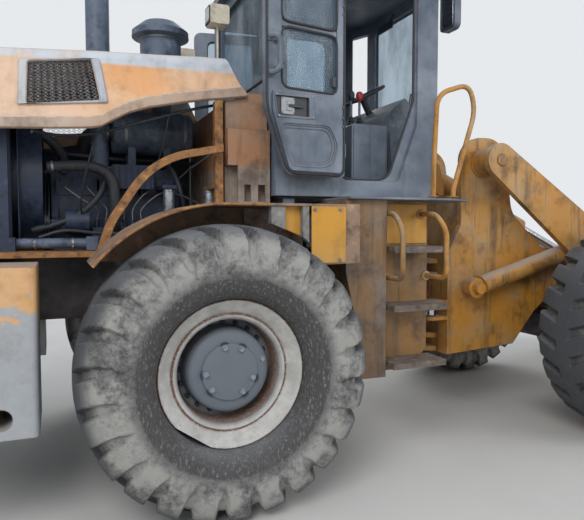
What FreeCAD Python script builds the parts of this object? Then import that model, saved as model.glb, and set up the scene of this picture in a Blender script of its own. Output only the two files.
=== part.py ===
"""Wheel loader of the five tonne class, hinged in the middle, on four wheels.

Millimetres. +X is the way it drives, +Y its left, +Z up, and Z = 0 is the ground it stands on.
The rear frame carries the counterweight, engine, hood and cab, and the front frame the boom and bucket.
"""
import FreeCAD, Part

import math
import os
from types import SimpleNamespace

from FreeCAD import Placement, Rotation, Vector

os.makedirs("parts", exist_ok=True)
doc = FreeCAD.newDocument("wheel_loader")

# Driving sizes: name, millimetres or degrees, what it is
SIZES = [
    ("pivot_x", -375, "steering pivot, midway between the axles"),
    ("wheelbase", 3300, "axle to axle"),
    ("track", 2250, "wheel centre to wheel centre across"),
    ("tyre_radius", 800, "over the lugs"),
    ("tyre_width", 597, "over the sidewalls"),
    ("tread_radius", 762, "bottom of the grooves at the middle"),
    ("lug_count", 24, "lugs on each half of the tread"),
    ("bead_radius", 400.3, "tyre on the rim"),
    ("rim_radius", 400, "rim flange"),
    ("rim_width", 356, "flange to flange"),
    ("hub_radius", 230, "planetary hub drum"),
    ("hub_cap_radius", 166, "bolted cap of the hub"),
    ("wheel_gap", 0.3, "between hub and axle end"),
    ("axle_tube", 125, "half height of the axle housing"),
    ("rail_y", 420, "middle of a rear frame rail"),
    ("rail_thick", 30, "rear frame rail plate"),
    ("rail_top", 1410, "top of the rear frame"),
    ("rear_overhang", 1950, "rear axle to the back of the counterweight"),
    ("counterweight_half", 1220, "half width of the counterweight"),
    ("counterweight_top", 1390, "top of the counterweight"),
    ("counterweight_low", 560, "underside of the counterweight"),
    ("hood_half", 720, "half width of the hood at its lower edge"),
    ("hood_shoulder", 620, "half width of the hood at its shoulder"),
    ("hood_sheet", 20, "hood wall"),
    ("hood_top", 2650, "top of the hood at its front end"),
    ("hood_low", 2100, "lower edge of the hood at its rear end"),
    ("cab_half", 750, "half width of the cab"),
    ("cab_floor", 1783, "underside of the cab"),
    ("cab_wall", 50, "cab posts and walls"),
    ("cab_eaves", 3385, "top of the cab walls"),
    ("roof_top", 3465, "highest point of the roof"),
    ("door_thick", 36, "door leaf"),
    ("door_width", 605, "hinge to free edge"),
    ("door_low", 1903, "bottom of the door"),
    ("door_high", 3290, "top of the door"),
    ("door_open", 170, "how far the doors stand open"),
    ("glass_thick", 8, "window glass"),
    ("fender_radius", 900, "mudguard about its axle"),
    ("fender_sheet", 14, "mudguard sheet"),
    ("platform_top", 1769, "step platform beside the cab"),
    ("tank_outer", 1050, "outer face of the side tanks"),
    ("rail_tube", 17, "hand rail tube radius"),
    ("plate_y", 400, "middle of a front frame side plate"),
    ("plate_thick", 50, "front frame side plate"),
    ("boom_pin_x", 330, "boom pivot"),
    ("boom_pin_z", 2100, "boom pivot"),
    ("bucket_pin_x", 2700, "bucket pivot"),
    ("bucket_pin_z", 320, "bucket pivot"),
    ("boom_y", 625, "middle of a boom arm"),
    ("boom_thick", 50, "boom arm plate"),
    ("pin_radius", 45, "work pins"),
    ("pin_gap", 0.3, "running gap round a pin"),
    ("side_gap", 10, "between a boss and its neighbour"),
    ("rocker_x", 1980, "rocker pivot on the boom"),
    ("rocker_z", 980, "rocker pivot on the boom"),
    ("link_arm", 400, "rocker pin to link pin, and the same on the bucket"),
    ("link_lean", 87.5, "degrees from +X of both link arms at rest"),
    ("tilt_arm", 260, "rocker pin to tilt cylinder pin"),
    ("tilt_lean", 108, "degrees from +X of the tilt arm at rest"),
    ("tilt_foot_x", 65, "tilt cylinder foot"),
    ("tilt_foot_z", 2050, "tilt cylinder foot"),
    ("lift_foot_x", 200, "lift cylinder foot"),
    ("lift_foot_z", 1100, "lift cylinder foot"),
    ("lift_eye_x", 1370, "lift cylinder eye on the boom"),
    ("lift_eye_z", 1430, "lift cylinder eye on the boom"),
    ("lift_y", 510, "middle of a lift cylinder"),
    ("bucket_half", 1508, "half width over the cutting edge"),
    ("bucket_wall", 30, "bucket shell"),
    ("tip_x", 3975, "front of the bucket teeth"),
    ("steer_foot", -720, "steering cylinder foot, from the pivot"),
    ("steer_foot_y", 500, "steering cylinder foot across"),
    ("steer_eye", 262, "steering cylinder eye, from the pivot"),
    ("steer_eye_y", 360, "steering cylinder eye across"),
    ("steer_z", 920, "height of the steering cylinders"),
]

sheet = doc.addObject("Spreadsheet::Sheet", "sizes")
for row, (name, value, note) in enumerate(SIZES, start=1):
    sheet.set(f"A{row}", name)
    sheet.set(f"B{row}", str(value))
    sheet.set(f"C{row}", note)
    sheet.setAlias(f"B{row}", name)
doc.recompute()
d = SimpleNamespace(**{name: value for name, value, note in SIZES})

rear_x = d.pivot_x - d.wheelbase / 2
front_x = d.pivot_x + d.wheelbase / 2
axle_z = d.tyre_radius
nodes = {}


# Outlines and faces

def outline(points):
    """Closed run of straight edges; a third value in a point rounds that corner to that radius."""
    corners = []
    for i, point in enumerate(points):
        here = Vector(point[0], point[1], 0)
        if len(point) < 3:
            corners.append((here, None, here))
            continue
        before = Vector(*points[i - 1][:2], 0) - here
        after = Vector(*points[(i + 1) % len(points)][:2], 0) - here
        half = before.getAngle(after) / 2
        cut = point[2] / math.tan(half)
        start = here + before.normalize() * cut
        end = here + after.normalize() * cut
        middle = here + (before + after).normalize() * point[2] * (1 / math.sin(half) - 1)
        corners.append((start, middle, end))
    edges = []
    for i, (start, middle, end) in enumerate(corners):
        if middle is not None:
            edges.append(Part.Arc(start, middle, end))
        following = corners[(i + 1) % len(corners)][0]
        if (following - end).Length > 0.001:
            edges.append(Part.LineSegment(end, following))
    return edges


def box_outline(low_u, high_u, low_v, high_v, radius=0):
    corners = [(low_u, low_v), (high_u, low_v), (high_u, high_v), (low_u, high_v)]
    return outline([(*corner, radius) for corner in corners] if radius else corners)


def circle(u, v, radius):
    return [Part.Circle(Vector(u, v, 0), Vector(0, 0, 1), radius)]


def bar_outline(start, end, start_radius, end_radius):
    """Strap with round ends about two pins."""
    a, b = Vector(*start, 0), Vector(*end, 0)
    along = (b - a).normalize()
    lean = math.asin((start_radius - end_radius) / (b - a).Length)
    edges = []
    sides = []
    for sign in (1, -1):
        normal = Vector(-along.y, along.x, 0) * sign
        out = normal * math.cos(lean) + along * math.sin(lean)
        sides.append((a + out * start_radius, b + out * end_radius))
    (a_left, b_left), (a_right, b_right) = sides
    edges.append(Part.LineSegment(a_left, b_left))
    edges.append(Part.Arc(b_left, b + along * end_radius, b_right))
    edges.append(Part.LineSegment(b_right, a_right))
    edges.append(Part.Arc(a_right, a - along * start_radius, a_left))
    return edges


def polar(centre, radius, degrees):
    turn = math.radians(degrees)
    return centre[0] + radius * math.cos(turn), centre[1] + radius * math.sin(turn)


# Pieces

PLANES = {"side": ("XZ_Plane", -1), "top": ("XY_Plane", 1), "front": ("YZ_Plane", 1)}


class Piece:
    """One rigid piece, made of pads, cuts and turned forms one after another.

    "side" outlines are (x, z), "top" outlines (x, y) and "front" outlines (y, z); a pad or cut
    lies half to each side of `at`. Sizes given as text are expressions on the sheet.
    """

    def __init__(self, label):
        self.body = doc.addObject("PartDesign::Body", label)
        self.body.Label = label
        nodes[label] = self.body

    def sketch(self, plane, at, edges, origin=(0, 0)):
        role, sign = PLANES[plane]
        sketch = self.body.newObject("Sketcher::SketchObject", "outline")
        support = next(f for f in self.body.Origin.OriginFeatures if f.Role == role)
        sketch.AttachmentSupport = [(support, "")]
        sketch.MapMode = "FlatFace"
        sketch.AttachmentOffset = Placement(Vector(origin[0], origin[1], 0), Rotation())
        if isinstance(at, str):
            sketch.setExpression(".AttachmentOffset.Base.z", at if sign > 0 else f"-({at})")
        else:
            sketch.AttachmentOffset = Placement(Vector(origin[0], origin[1], sign * at), Rotation())
        sketch.addGeometry(edges, False)
        return sketch

    def length(self, feature, size):
        feature.SideType = "Symmetric"
        if isinstance(size, str):
            feature.setExpression("Length", size)
        else:
            feature.Length = size

    def pad(self, plane, at, edges, thick):
        sketch = self.sketch(plane, at, edges)
        pad = self.body.newObject("PartDesign::Pad", "pad")
        pad.Profile = sketch
        self.length(pad, thick)
        return self

    def cut(self, plane, at, edges, thick):
        sketch = self.sketch(plane, at, edges)
        pocket = self.body.newObject("PartDesign::Pocket", "cut")
        pocket.Profile = sketch
        self.length(pocket, thick)
        return self

    def pair(self, plane, at, edges, thick):
        """The same pad on both sides of the machine."""
        self.pad(plane, at, edges, thick)
        return self.pad(plane, f"-({at})" if isinstance(at, str) else -at, edges, thick)

    def turn(self, plane, at, edges, origin=(0, 0), axis="H_Axis"):
        """Outline turned about a line through `origin`, along the plane's first or second axis."""
        sketch = self.sketch(plane, at, edges, origin)
        turned = self.body.newObject("PartDesign::Revolution", "turned")
        turned.Profile = sketch
        turned.ReferenceAxis = (sketch, [axis])
        turned.Angle = 360
        return self

    def bore(self, plane, edges):
        """Outline cut away all round the plane's first axis."""
        sketch = self.sketch(plane, 0, edges)
        groove = self.body.newObject("PartDesign::Groove", "bore")
        groove.Profile = sketch
        groove.ReferenceAxis = (sketch, ["H_Axis"])
        groove.Angle = 360
        return self

    def loft(self, plane, sections):
        """Straight loft through (at, edges) sections."""
        sketches = [self.sketch(plane, at, edges) for at, edges in sections]
        loft = self.body.newObject("PartDesign::AdditiveLoft", "loft")
        loft.Profile = sketches[0]
        loft.Sections = sketches[1:]
        loft.Ruled = True
        return self

    def place(self, x, y, z, axis, degrees):
        self.body.Placement = Placement(Vector(x, y, z), Rotation(axis, degrees))
        return self


def faceted(label, faces):
    return assembled(label, [solid_from(faces)])


def facet_ring(centre, offset, radius, count, side):
    """Corners of a ring about a line along Y; the first corner is at the bottom."""
    step = 2 * math.pi / count
    return [centre + Vector(-radius * math.sin(k * step), side * offset, -radius * math.cos(k * step))
            for k in range(count)]


def facet_turned(centre, profile, count, side=1, closed=False):
    """Faces of a form turned with flat facets; profile rows are (offset, radius).

    A closed profile is a loop round a bore; an open one starts and ends in a flat cap.
    """
    rings = [facet_ring(centre, offset, radius, count, side) for offset, radius in profile]
    faces = []
    for a, b in zip(rings, rings[1:] + (rings[:1] if closed else [])):
        for k in range(count):
            m = (k + 1) % count
            faces.append([a[k], a[m], b[m], b[k]])
    if not closed:
        faces += [rings[0], rings[-1]]
    return faces


def solid_from(faces):
    """Closed solid from flat faces, each a list of corners."""
    shell = Part.Shell([Part.Face(Part.makePolygon(face + [face[0]])) for face in faces])
    shell.sewShape()
    solid = Part.Solid(shell)
    if solid.Volume < 0:
        solid.reverse()
    return solid


def assembled(label, shapes):
    """One piece welded from several shapes; what doesn't touch stays apart."""
    shape = shapes[0].multiFuse(shapes[1:]).removeSplitter() if len(shapes) > 1 else shapes[0]
    piece = doc.addObject("Part::Feature", label)
    piece.Label = label
    piece.Shape = shape
    nodes[label] = piece
    return piece


def prism(plane, at, edges, thick):
    """Plain solid of an outline, half to each side of `at`."""
    face = Part.Face(Part.Wire([edge.toShape() for edge in edges]))
    if plane == "side":
        face.rotate(Vector(0, 0, 0), Vector(1, 0, 0), 90)
        across = Vector(0, 1, 0)
    elif plane == "front":
        face.rotate(Vector(0, 0, 0), Vector(1, 1, 1), 120)
        across = Vector(1, 0, 0)
    else:
        across = Vector(0, 0, 1)
    face.translate(across * (at - thick / 2))
    return face.extrude(across * thick)


def pipe(points, radius, bend=60, sides=6, steps=3):
    """Tube of flat facets along straight runs, each bend in a few mitred steps."""
    corners = [Vector(*p) for p in points]
    path = [corners[0]]
    for before, here, after in zip(corners, corners[1:], corners[2:]):
        back = (before - here).normalize()
        on = (after - here).normalize()
        cut = bend / math.tan(back.getAngle(on) / 2)
        first, last = here + back * cut, here + on * cut
        for k in range(steps + 1):
            part = k / steps
            path.append(first * (1 - part) ** 2 + here * 2 * part * (1 - part) + last * part ** 2)
    path.append(corners[-1])
    along = (path[1] - path[0]).normalize()
    across = along.cross(Vector(0, 0, 1) if abs(along.z) < 0.9 else Vector(1, 0, 0)).normalize()
    upward = along.cross(across)
    turns = [2 * math.pi * k / sides for k in range(sides)]
    ring = [path[0] + (across * math.cos(turn) + upward * math.sin(turn)) * radius for turn in turns]
    rings = [ring]
    for i in range(1, len(path)):
        along = (path[i] - path[i - 1]).normalize()
        onward = (path[i + 1] - path[i]).normalize() if i + 1 < len(path) else along
        mitre = along + onward
        ring = [p + along * ((path[i] - p).dot(mitre) / along.dot(mitre)) for p in ring]
        rings.append(ring)
    faces = [rings[0], rings[-1]]
    for a, b in zip(rings, rings[1:]):
        for k in range(sides):
            m = (k + 1) % sides
            faces += [[a[k], a[m], b[m]], [a[k], b[m], b[k]]]
    return solid_from(faces)


def slab(corners, push):
    """Faces of a flat plate, from its middle outline and the push to each face."""
    near, far = [p - push for p in corners], [p + push for p in corners]
    faces = [near, far]
    for i in range(len(corners)):
        k = (i + 1) % len(corners)
        faces.append([near[i], near[k], far[k], far[i]])
    return faces


def both_sides(point_rows, side):
    return [(x, side * y, z) for x, y, z in point_rows]


# Wheels: tyres with bar lugs, staggered left and right of a rib round the middle

LUG_INNER = 45
LUG_OUTER = 262
SHOULDER = (283, 700)
SIDEWALL = [(298.5, 610), (282, 490)]
BEAD_OFFSET = 186
LUG_TOP_OUTER = 786


def tyre(label, x, y):
    centre = Vector(x, y, axle_z)
    count = 2 * d.lug_count
    half = d.tyre_width / 2
    sidewall = [(half, SIDEWALL[0][1]), SIDEWALL[1], (BEAD_OFFSET, d.bead_radius)]
    faces = []
    middle = [facet_ring(centre, LUG_INNER, d.tread_radius, count, side) for side in (-1, 1)]
    crown = [facet_ring(centre, LUG_INNER, d.tyre_radius, count, side) for side in (-1, 1)]
    bore = [facet_ring(centre, BEAD_OFFSET, d.bead_radius, count, side) for side in (-1, 1)]
    for side in (-1, 1):
        root = middle[(side + 1) // 2]
        top = crown[(side + 1) // 2]
        top_end = facet_ring(centre, LUG_OUTER, LUG_TOP_OUTER, count, side)
        shoulder = facet_ring(centre, *SHOULDER, count, side)
        rings = [shoulder] + [facet_ring(centre, *row, count, side) for row in sidewall]
        for k in range(count):
            m, n = (k + 1) % count, (k + 2) % count
            if (k + (side + 1) // 2) % 2:
                faces.append([top[k], top[m], root[m], root[k]])
                faces += [[root[k], root[m], shoulder[n]], [root[k], shoulder[n], shoulder[m]]]
            else:
                faces += [[top[k], top[m], top_end[n]], [top[k], top_end[n], top_end[m]]]
                faces.append([top_end[m], top_end[n], shoulder[n], shoulder[m]])
                faces += [[root[k], top[k], top_end[m]], [root[k], top_end[m], shoulder[m]]]
                faces += [[root[m], top[m], top_end[n]], [root[m], top_end[n], shoulder[n]]]
            for a, b in zip(rings, rings[1:]):
                faces.append([a[k], a[m], b[m], b[k]])
    for k in range(count):
        m = (k + 1) % count
        faces.append([crown[0][k], crown[0][m], crown[1][m], crown[1][k]])
        faces.append([bore[0][k], bore[0][m], bore[1][m], bore[1][k]])
    return faceted(label, faces)


CAP_BOSS = 90


def rim(label, x, y, side):
    """Deep dished rim with its hub drum; the dish opens outwards."""
    half = d.rim_width / 2
    profile = [
        (-40, 200), (-40, 262), (-60, 300), (-half, 366), (-half, d.rim_radius),
        (half, d.rim_radius), (half + 10, 372), (half - 50, 318), (70, 282), (22, 276),
        (22, d.hub_radius + 6), (104, d.hub_radius - 8), (112, d.hub_cap_radius), (128, d.hub_cap_radius - 10),
    ]
    centre = Vector(x, y, axle_z)
    dish = solid_from(facet_turned(centre, profile, d.lug_count, side))
    boss = Part.makeCylinder(CAP_BOSS, 12, centre + Vector(0, 120 * side, 0), Vector(0, side, 0))
    return assembled(label, [dish, boss])


WHEELS = [("front_left", front_x, 1), ("front_right", front_x, -1), ("rear_left", rear_x, 1), ("rear_right", rear_x, -1)]
for place, x, side in WHEELS:
    tyre("tyre_" + place, x, side * d.track / 2)
    rim("rim_" + place, x, side * d.track / 2, side)


# Axles: cast housings with a round middle and final drives

SHAFT_Z = 860


def axle(label, x, inward):
    """Housing with its final drives, and the pinion housing towards the middle of the machine."""
    end = d.track / 2 - 40 - d.wheel_gap
    half = [(110, 235), (220, d.axle_tube + 10), (330, d.axle_tube), (540, d.axle_tube), (end - 150, 150),
            (end - 120, 190), (end, 190)]
    profile = [(-offset, radius) for offset, radius in reversed(half)] + half
    housing = solid_from(facet_turned(Vector(x, 0, axle_z), profile, 12))
    pinion = Part.makeCone(125, 85, 130, Vector(x + inward * 120, 0, SHAFT_Z - 20), Vector(inward, 0, 0.08))
    flange = pipe([(x + inward * 200, 0, SHAFT_Z), (x + inward * 260, 0, SHAFT_Z)], 75, sides=12)
    return assembled(label, [housing, pinion, flange])


axle("front_axle", front_x, -1)
axle("rear_axle", rear_x, 1)


# Rear frame: two rails, cross plates and the hinge nose

def at_rear(x):
    return rear_x + x


def at_pivot(x):
    return d.pivot_x + x


def shifted(points, move):
    return [(move(p[0]), *p[1:]) for p in points]


CRANKCASE_Y = 250
rail = shifted([(-1789.7, 1020), (-1789.7, d.rail_top), (1230, d.rail_top),
                (1270, 1370), (1270, 1060), (700, 1060), (420, 1000), (-420, 1000), (-700, 1020)], at_rear)
rear_frame = Piece("rear_frame")
rear_frame.pair("side", "sizes.rail_y", outline(rail), "sizes.rail_thick")
for x in (-1700, -960, 60, 960):
    rear_frame.pad("front", at_rear(x), box_outline(-d.rail_y, d.rail_y, 1060, 1340), 30)
nose = [(-d.rail_y, d.rail_top), (-d.rail_y, 1060), (-300, 1060), (-300, 520), (300, 520), (300, 1060),
        (d.rail_y, 1060), (d.rail_y, d.rail_top)]
rear_frame.pad("front", at_pivot(-400), outline(nose), 40)
rear_frame.cut("front", at_pivot(-400), circle(0, SHAFT_Z, 90), 80)
for x, z, gap_y in ((-770, 1240, CRANKCASE_Y), (-150, 1240, CRANKCASE_Y), (560, 1240, 300)):
    reach = (gap_y + d.wheel_gap + d.rail_y) / 2
    rear_frame.pair("side", reach, box_outline(at_rear(x - 50), at_rear(x + 50), z - 60, z), d.rail_y - gap_y - d.wheel_gap)
nose_plan = [(at_pivot(-400), -290), (at_pivot(-40), -130), (at_pivot(110), -110, 60), (at_pivot(110), 110, 60),
             (at_pivot(-40), 130), (at_pivot(-400), 290)]
HINGE_PLATES = [1250, 640]
for z in HINGE_PLATES:
    rear_frame.pad("top", z, outline(nose_plan), 60)
    rear_frame.cut("top", z, circle(d.pivot_x, 0, 60 + d.pin_gap), 80)
axle_pad = [(-160, 1000), (160, 1000), (160, axle_z + d.axle_tube + d.wheel_gap), (-160, axle_z + d.axle_tube + d.wheel_gap)]
rear_frame.pair("side", "sizes.rail_y", outline(shifted(axle_pad, at_rear)), 120)
steer_lug = [(at_pivot(d.steer_foot - 60), d.rail_y), (at_pivot(d.steer_foot + 60), d.rail_y),
             (at_pivot(d.steer_foot + 60), d.steer_foot_y + 60, 50), (at_pivot(d.steer_foot - 60), d.steer_foot_y + 60, 50)]
rear_frame.pad("top", 1050, outline(steer_lug), 100)
mirrored_lug = [(p[0], -p[1], *p[2:]) for p in steer_lug]
rear_frame.pad("top", 1050, outline(mirrored_lug), 100)
for sign in (-1, 1):
    rear_frame.pad("top", 960, circle(at_pivot(d.steer_foot), sign * d.steer_foot_y, 28), 180)

# Counterweight: one casting round the back, with wings ahead to the rear tyres
half = d.counterweight_half
back = at_rear(-d.rear_overhang)
plan = [(at_rear(-950), half, 30), (at_rear(-1600), half, 60), (back, 820, 120), (back, -820, 120),
        (at_rear(-1600), -half, 60), (at_rear(-950), -half, 30), (at_rear(-950), -760), (at_rear(-1560), -760),
        (at_rear(-1560), -d.rail_y - d.rail_thick / 2 - 1), (at_rear(-1790), -d.rail_y - d.rail_thick / 2 - 1),
        (at_rear(-1790), d.rail_y + d.rail_thick / 2 + 1), (at_rear(-1560), d.rail_y + d.rail_thick / 2 + 1),
        (at_rear(-1560), 760), (at_rear(-950), 760)]
middle_z = (d.counterweight_top + d.counterweight_low) / 2
counterweight = Piece("counterweight")
counterweight.pad("top", middle_z, outline(plan), d.counterweight_top - d.counterweight_low)
counterweight.cut("side", 0, outline(shifted([(-1480, 540), (-2000, 760), (-2000, 500), (-1480, 500)], at_rear)), 3000)
counterweight.cut("side", 0, circle(at_rear(-1120), 660, 52), 3000)

# Engine, fan and radiator behind it, the radiator guard at the tail
ENGINE_TOP = 1980
FAN_Z = 1880
ledge_top = d.rail_top + d.wheel_gap + 30
CRANKCASE = [(-860, 1180), (-860, 1560), (-60, 1560), (-60, 1180), (-160, 1050), (-700, 1050)]
engine = Piece("engine_block")
engine.pad("side", 0, outline(shifted(CRANKCASE, at_rear)), 2 * CRANKCASE_Y)
engine.pad("side", 0, box_outline(at_rear(-860), at_rear(-60), 1540, 1800), 380)
for x in (-850, -585, -320):
    engine.pad("side", 0, box_outline(at_rear(x), at_rear(x + 250), 1790, 1905), 400)
engine.pad("side", 0, box_outline(at_rear(-845), at_rear(-70), 1900, ENGINE_TOP), 220)
gear_case = [(-230, 1180), (230, 1180), (230, 1650), (120, 1950), (-120, 1950), (-230, 1650)]
engine.pad("front", at_rear(-860), outline(gear_case), 40)
engine.pad("front", at_rear(-40), circle(0, 1330, 290), 40)

# What is bolted to the engine. Round parts lie along it: middle, length, radius, across, height
ROUND_PARTS = [
    ("crank pulley", -905, 52, 110, 0, 1300),
    ("idler pulley", -900, 42, 55, -160, 1560),
    ("alternator", -730, 140, 75, -330, 1616),
    ("alternator shaft", -845, 100, 15, -330, 1616),
    ("alternator pulley", -905, 32, 38, -330, 1616),
    ("turbine", -600, 90, 85, 235, 1890),
    ("exhaust log", -450, 740, 42, 235, 1850),
]
for name, x, length, radius, y, z in ROUND_PARTS:
    engine.pad("front", at_rear(x), circle(y, z, radius), length)
engine.pad("front", at_rear(-730), box_outline(-330, -180, 1590, 1640), 60)
engine.pad("side", -285, box_outline(at_rear(-640), at_rear(-300), 1440, 1580), 92)
for k in range(6):
    engine.pad("top", 1600, circle(at_rear(-610 + 56 * k), -290, 14), 60)
    engine.pad("side", 210, circle(at_rear(-790 + 132 * k), 1850, 26), 60)
engine.pad("side", -250, box_outline(at_rear(-520), at_rear(-250), 1830, 1985, 20), 150)
for k in range(7):
    engine.pad("side", -326, box_outline(at_rear(-505 + 38 * k), at_rear(-497 + 38 * k), 1840, 1975), 16)
engine.pad("top", 1840, box_outline(at_rear(-215), at_rear(-125), -460, -189), 24)

radiator = Piece("radiator")
radiator.pad("front", at_rear(-1160), box_outline(-560, 560, ledge_top + d.wheel_gap, 2380), 110)
radiator.pad("front", at_rear(-1060), circle(0, FAN_Z, 430), 90)
radiator.cut("front", at_rear(-1060), circle(0, FAN_Z, 410), 90)
for y in range(-510, 511, 60):
    radiator.pad("side", y, box_outline(at_rear(-1105), at_rear(-1096), 1520, 2290), 8)
for low, high in ((ledge_top + d.wheel_gap, 1520), (2290, 2380)):
    radiator.pad("front", at_rear(-1090), box_outline(-560, 560, low, high), 30)
fan = Piece("cooling_fan")
fan.turn("side", 0, box_outline(at_rear(-1075), at_rear(-880 - d.wheel_gap), 0, 70), (0, FAN_Z))
BLADE = [(-60, 45), (60, 45), (95, 385), (-55, 385)]
for k in range(6):
    turn = math.radians(60 * k)
    blade = [(u * math.cos(turn) - v * math.sin(turn), FAN_Z + u * math.sin(turn) + v * math.cos(turn))
             for u, v in BLADE]
    fan.pad("front", at_rear(-1045), outline(blade), 16)

# Engine bay: ledge, posts and the bowed strips ahead of the rear wheels
def hood_edge(x):
    """Height of the hood's lower edge by the front posts."""
    return 2340 + (x + 30) * 72 / 320


bay = Piece("bay_frame")
ledge_mid = d.rail_top + d.wheel_gap + 15
ledge_out = 751.7
for sign in (-1, 1):
    ledge = box_outline(at_rear(-1759.7), at_rear(-560), *sorted((sign * (d.rail_y - 14), sign * ledge_out)))
    bay.pad("top", ledge_mid, ledge, 30)
    bay.pad("top", ledge_mid, box_outline(at_rear(60), at_rear(140), *sorted((sign * (d.rail_y - 14), sign * 700))), 30)
    post = shifted([(75, ledge_top - 5), (125, ledge_top - 5), (125, hood_edge(125) - 0.4), (75, hood_edge(75) - 0.4)], at_rear)
    bay.pad("side", sign * 655, outline(post), 50)
    bow = shifted([(-650, 1420), (-600, 1420), (-540, 1600, 300), (-300, 1960, 500), (110, 2045), (110, 2090),
                   (-330, 2000, 540), (-585, 1620, 340)], at_rear)
    bay.pad("side", sign * 735, outline(bow), 30)
    bay.pad("top", 2068, box_outline(at_rear(76), at_rear(110), *sorted((sign * 670, sign * 740))), 40)

# Filter cans that hang from their brackets, and the coolant pipe along the right-hand ledge
can_shelf = 1850 - 24
bay.pad("top", 1838, box_outline(at_rear(70), at_rear(130), -632, -375), 24)
CANS = [(-170, -420, 36, 1670, 1828 - d.wheel_gap), (100, -430, 40, 1700, can_shelf - d.wheel_gap)]
fittings = []
for x, y, radius, low, high in CANS:
    fittings.append(Part.makeCylinder(radius, high - low - 20, Vector(at_rear(x), y, low + 20)).fuse(
        Part.makeCone(radius * 0.7, radius, 20, Vector(at_rear(x), y, low))))
union_low = ledge_top + d.wheel_gap
union_box = prism("side", -550, box_outline(at_rear(-690), at_rear(-622), union_low, 1525), 70)
pipe_route = [(at_rear(-660), -550, 1484), (at_rear(-880), -550, 1484), (at_rear(-980), -480, 1484),
              (at_rear(-1075) + d.wheel_gap, -480, 1484)]
fittings.append(union_box.fuse(pipe(pipe_route, 30, 80, 8)))
assembled("engine_fittings", fittings)

# Hood: one folded sheet over the engine, arched at its lower front corners
def hood_points(x, low):
    """Right half of the hood's cross-section, (y, z), outer and inner."""
    rise = (d.hood_top - 2580) / 1300
    top = d.hood_top + (x - 130) * rise
    wall = d.hood_sheet
    outer = [(d.hood_half, low), (d.hood_shoulder, top - 75), (d.hood_shoulder - 90, top - 12), (0, top)]
    inner = [(d.hood_half - wall, low), (d.hood_shoulder - wall, top - 82), (d.hood_shoulder - 98, top - 12 - wall),
             (0, top - wall)]
    return outer, inner


def mirrored(points):
    return [(-u, v) for u, v in reversed(points)]


def hood_section(x, low):
    outer, inner = hood_points(x, low)
    return outline(outer + mirrored(outer[:-1]) + [(-u, v) for u, v in inner[:-1]] + [inner[-1]] + inner[-2::-1])


hood = Piece("hood")
hood.loft("front", [(at_rear(-1840), hood_section(-1840, d.hood_low)), (at_rear(290), hood_section(290, d.hood_low))])
arch = shifted([(-1900, 2000), (-1900, 2106), (-1120, 2112), (-600, 2150, 300), (-30, 2340, 300), (290, 2412), (400, 2420),
                (400, 2000)], at_rear)
hood.cut("side", 0, outline(arch), 2000)
nose_cut = shifted([(290, 2300), (290, 2412), (140, 2700), (500, 2700), (500, 2300)], at_rear)
hood.cut("side", 0, outline(nose_cut), 2000)
grille_hole = shifted([(-1035, 2262), (-585, 2318), (-632, 2560), (-1015, 2512)], at_rear)
hood.cut("side", 0, outline(grille_hole), 2000)

# Each grille lies in its opening, leaning with the hood side
grille_shapes = []
lean = (d.hood_half - d.hood_shoulder) / (hood_points(-800, d.hood_low)[0][1][1] - d.hood_low)
for sign in (-1, 1):
    rows = [(x, z, d.hood_half - 10 - (z - d.hood_low) * lean) for x, z in
            ((-1035 + 0.4, 2262 + 0.4), (-585 - 0.5, 2318 + 0.4), (-632 - 0.5, 2560 - 0.5), (-1015 + 0.4, 2512 - 0.5))]
    panel = solid_from(slab([Vector(at_rear(x), sign * y, z) for x, z, y in rows], Vector(0, sign * 4, 0)))
    grille_shapes.append(panel)
assembled("hood_grilles", grille_shapes)

# Exhaust stack and the air cleaner with its bowl
stack = Piece("exhaust_stack")
stack_top = 3280
stack.turn("side", 0, outline([(0, ENGINE_TOP + d.wheel_gap), (60, ENGINE_TOP + d.wheel_gap), (60, 2640), (78, 2680), (78, stack_top), (66, stack_top), (66, 2800), (0, 2800)]),
           (at_rear(-565), 0), "V_Axis")
hood.cut("top", 2600, circle(at_rear(-565), 0, 62), 400)
cleaner = Piece("air_cleaner")
cleaner.turn("side", 100, outline([(0, 2300), (70, 2300), (70, 2690), (145, 2700), (145, 2930), (200, 2945), (200, 2985),
                                   (120, 3050), (0, 3055)]), (at_rear(-124), 0), "V_Axis")
cleaner.turn("side", 0, outline([(at_rear(-480), 0), (at_rear(-480), 138), (at_rear(-468), 150), (at_rear(48), 150), (at_rear(60), 138), (at_rear(60), 0)]), (0, 2240))
hood.cut("top", 2600, circle(at_rear(-124), 100, 74), 400)
for x in (-360, -120):
    cleaner.pad("top", (ENGINE_TOP + d.wheel_gap + 2140) / 2, box_outline(at_rear(x - 25), at_rear(x + 25), -100, 100),
                2140 - ENGINE_TOP - d.wheel_gap)

# Guard at the tail, standing on the counterweight and carrying the hood
guard = Piece("rear_guard")
_, inner = hood_points(-1820, d.hood_low)
guard_half = [(640, d.rail_top + d.wheel_gap), (640, 2250), (inner[1][0] - 16, inner[1][1] - 16),
              (inner[2][0] - 4, inner[2][1] - 0.4), (0, inner[3][1] - 0.4)]
guard.pad("front", at_rear(-1790), outline(guard_half + mirrored(guard_half[:-1])), 60)
guard.cut("front", at_rear(-1790), box_outline(-560, 560, 1500, 2420), 80)
for z in range(1560, 2400, 80):
    slat = shifted([(-1812, z), (-1768, z + 36), (-1768, z + 42), (-1812, z + 6)], at_rear)
    guard.pad("side", 0, outline(slat), 1124)

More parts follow.
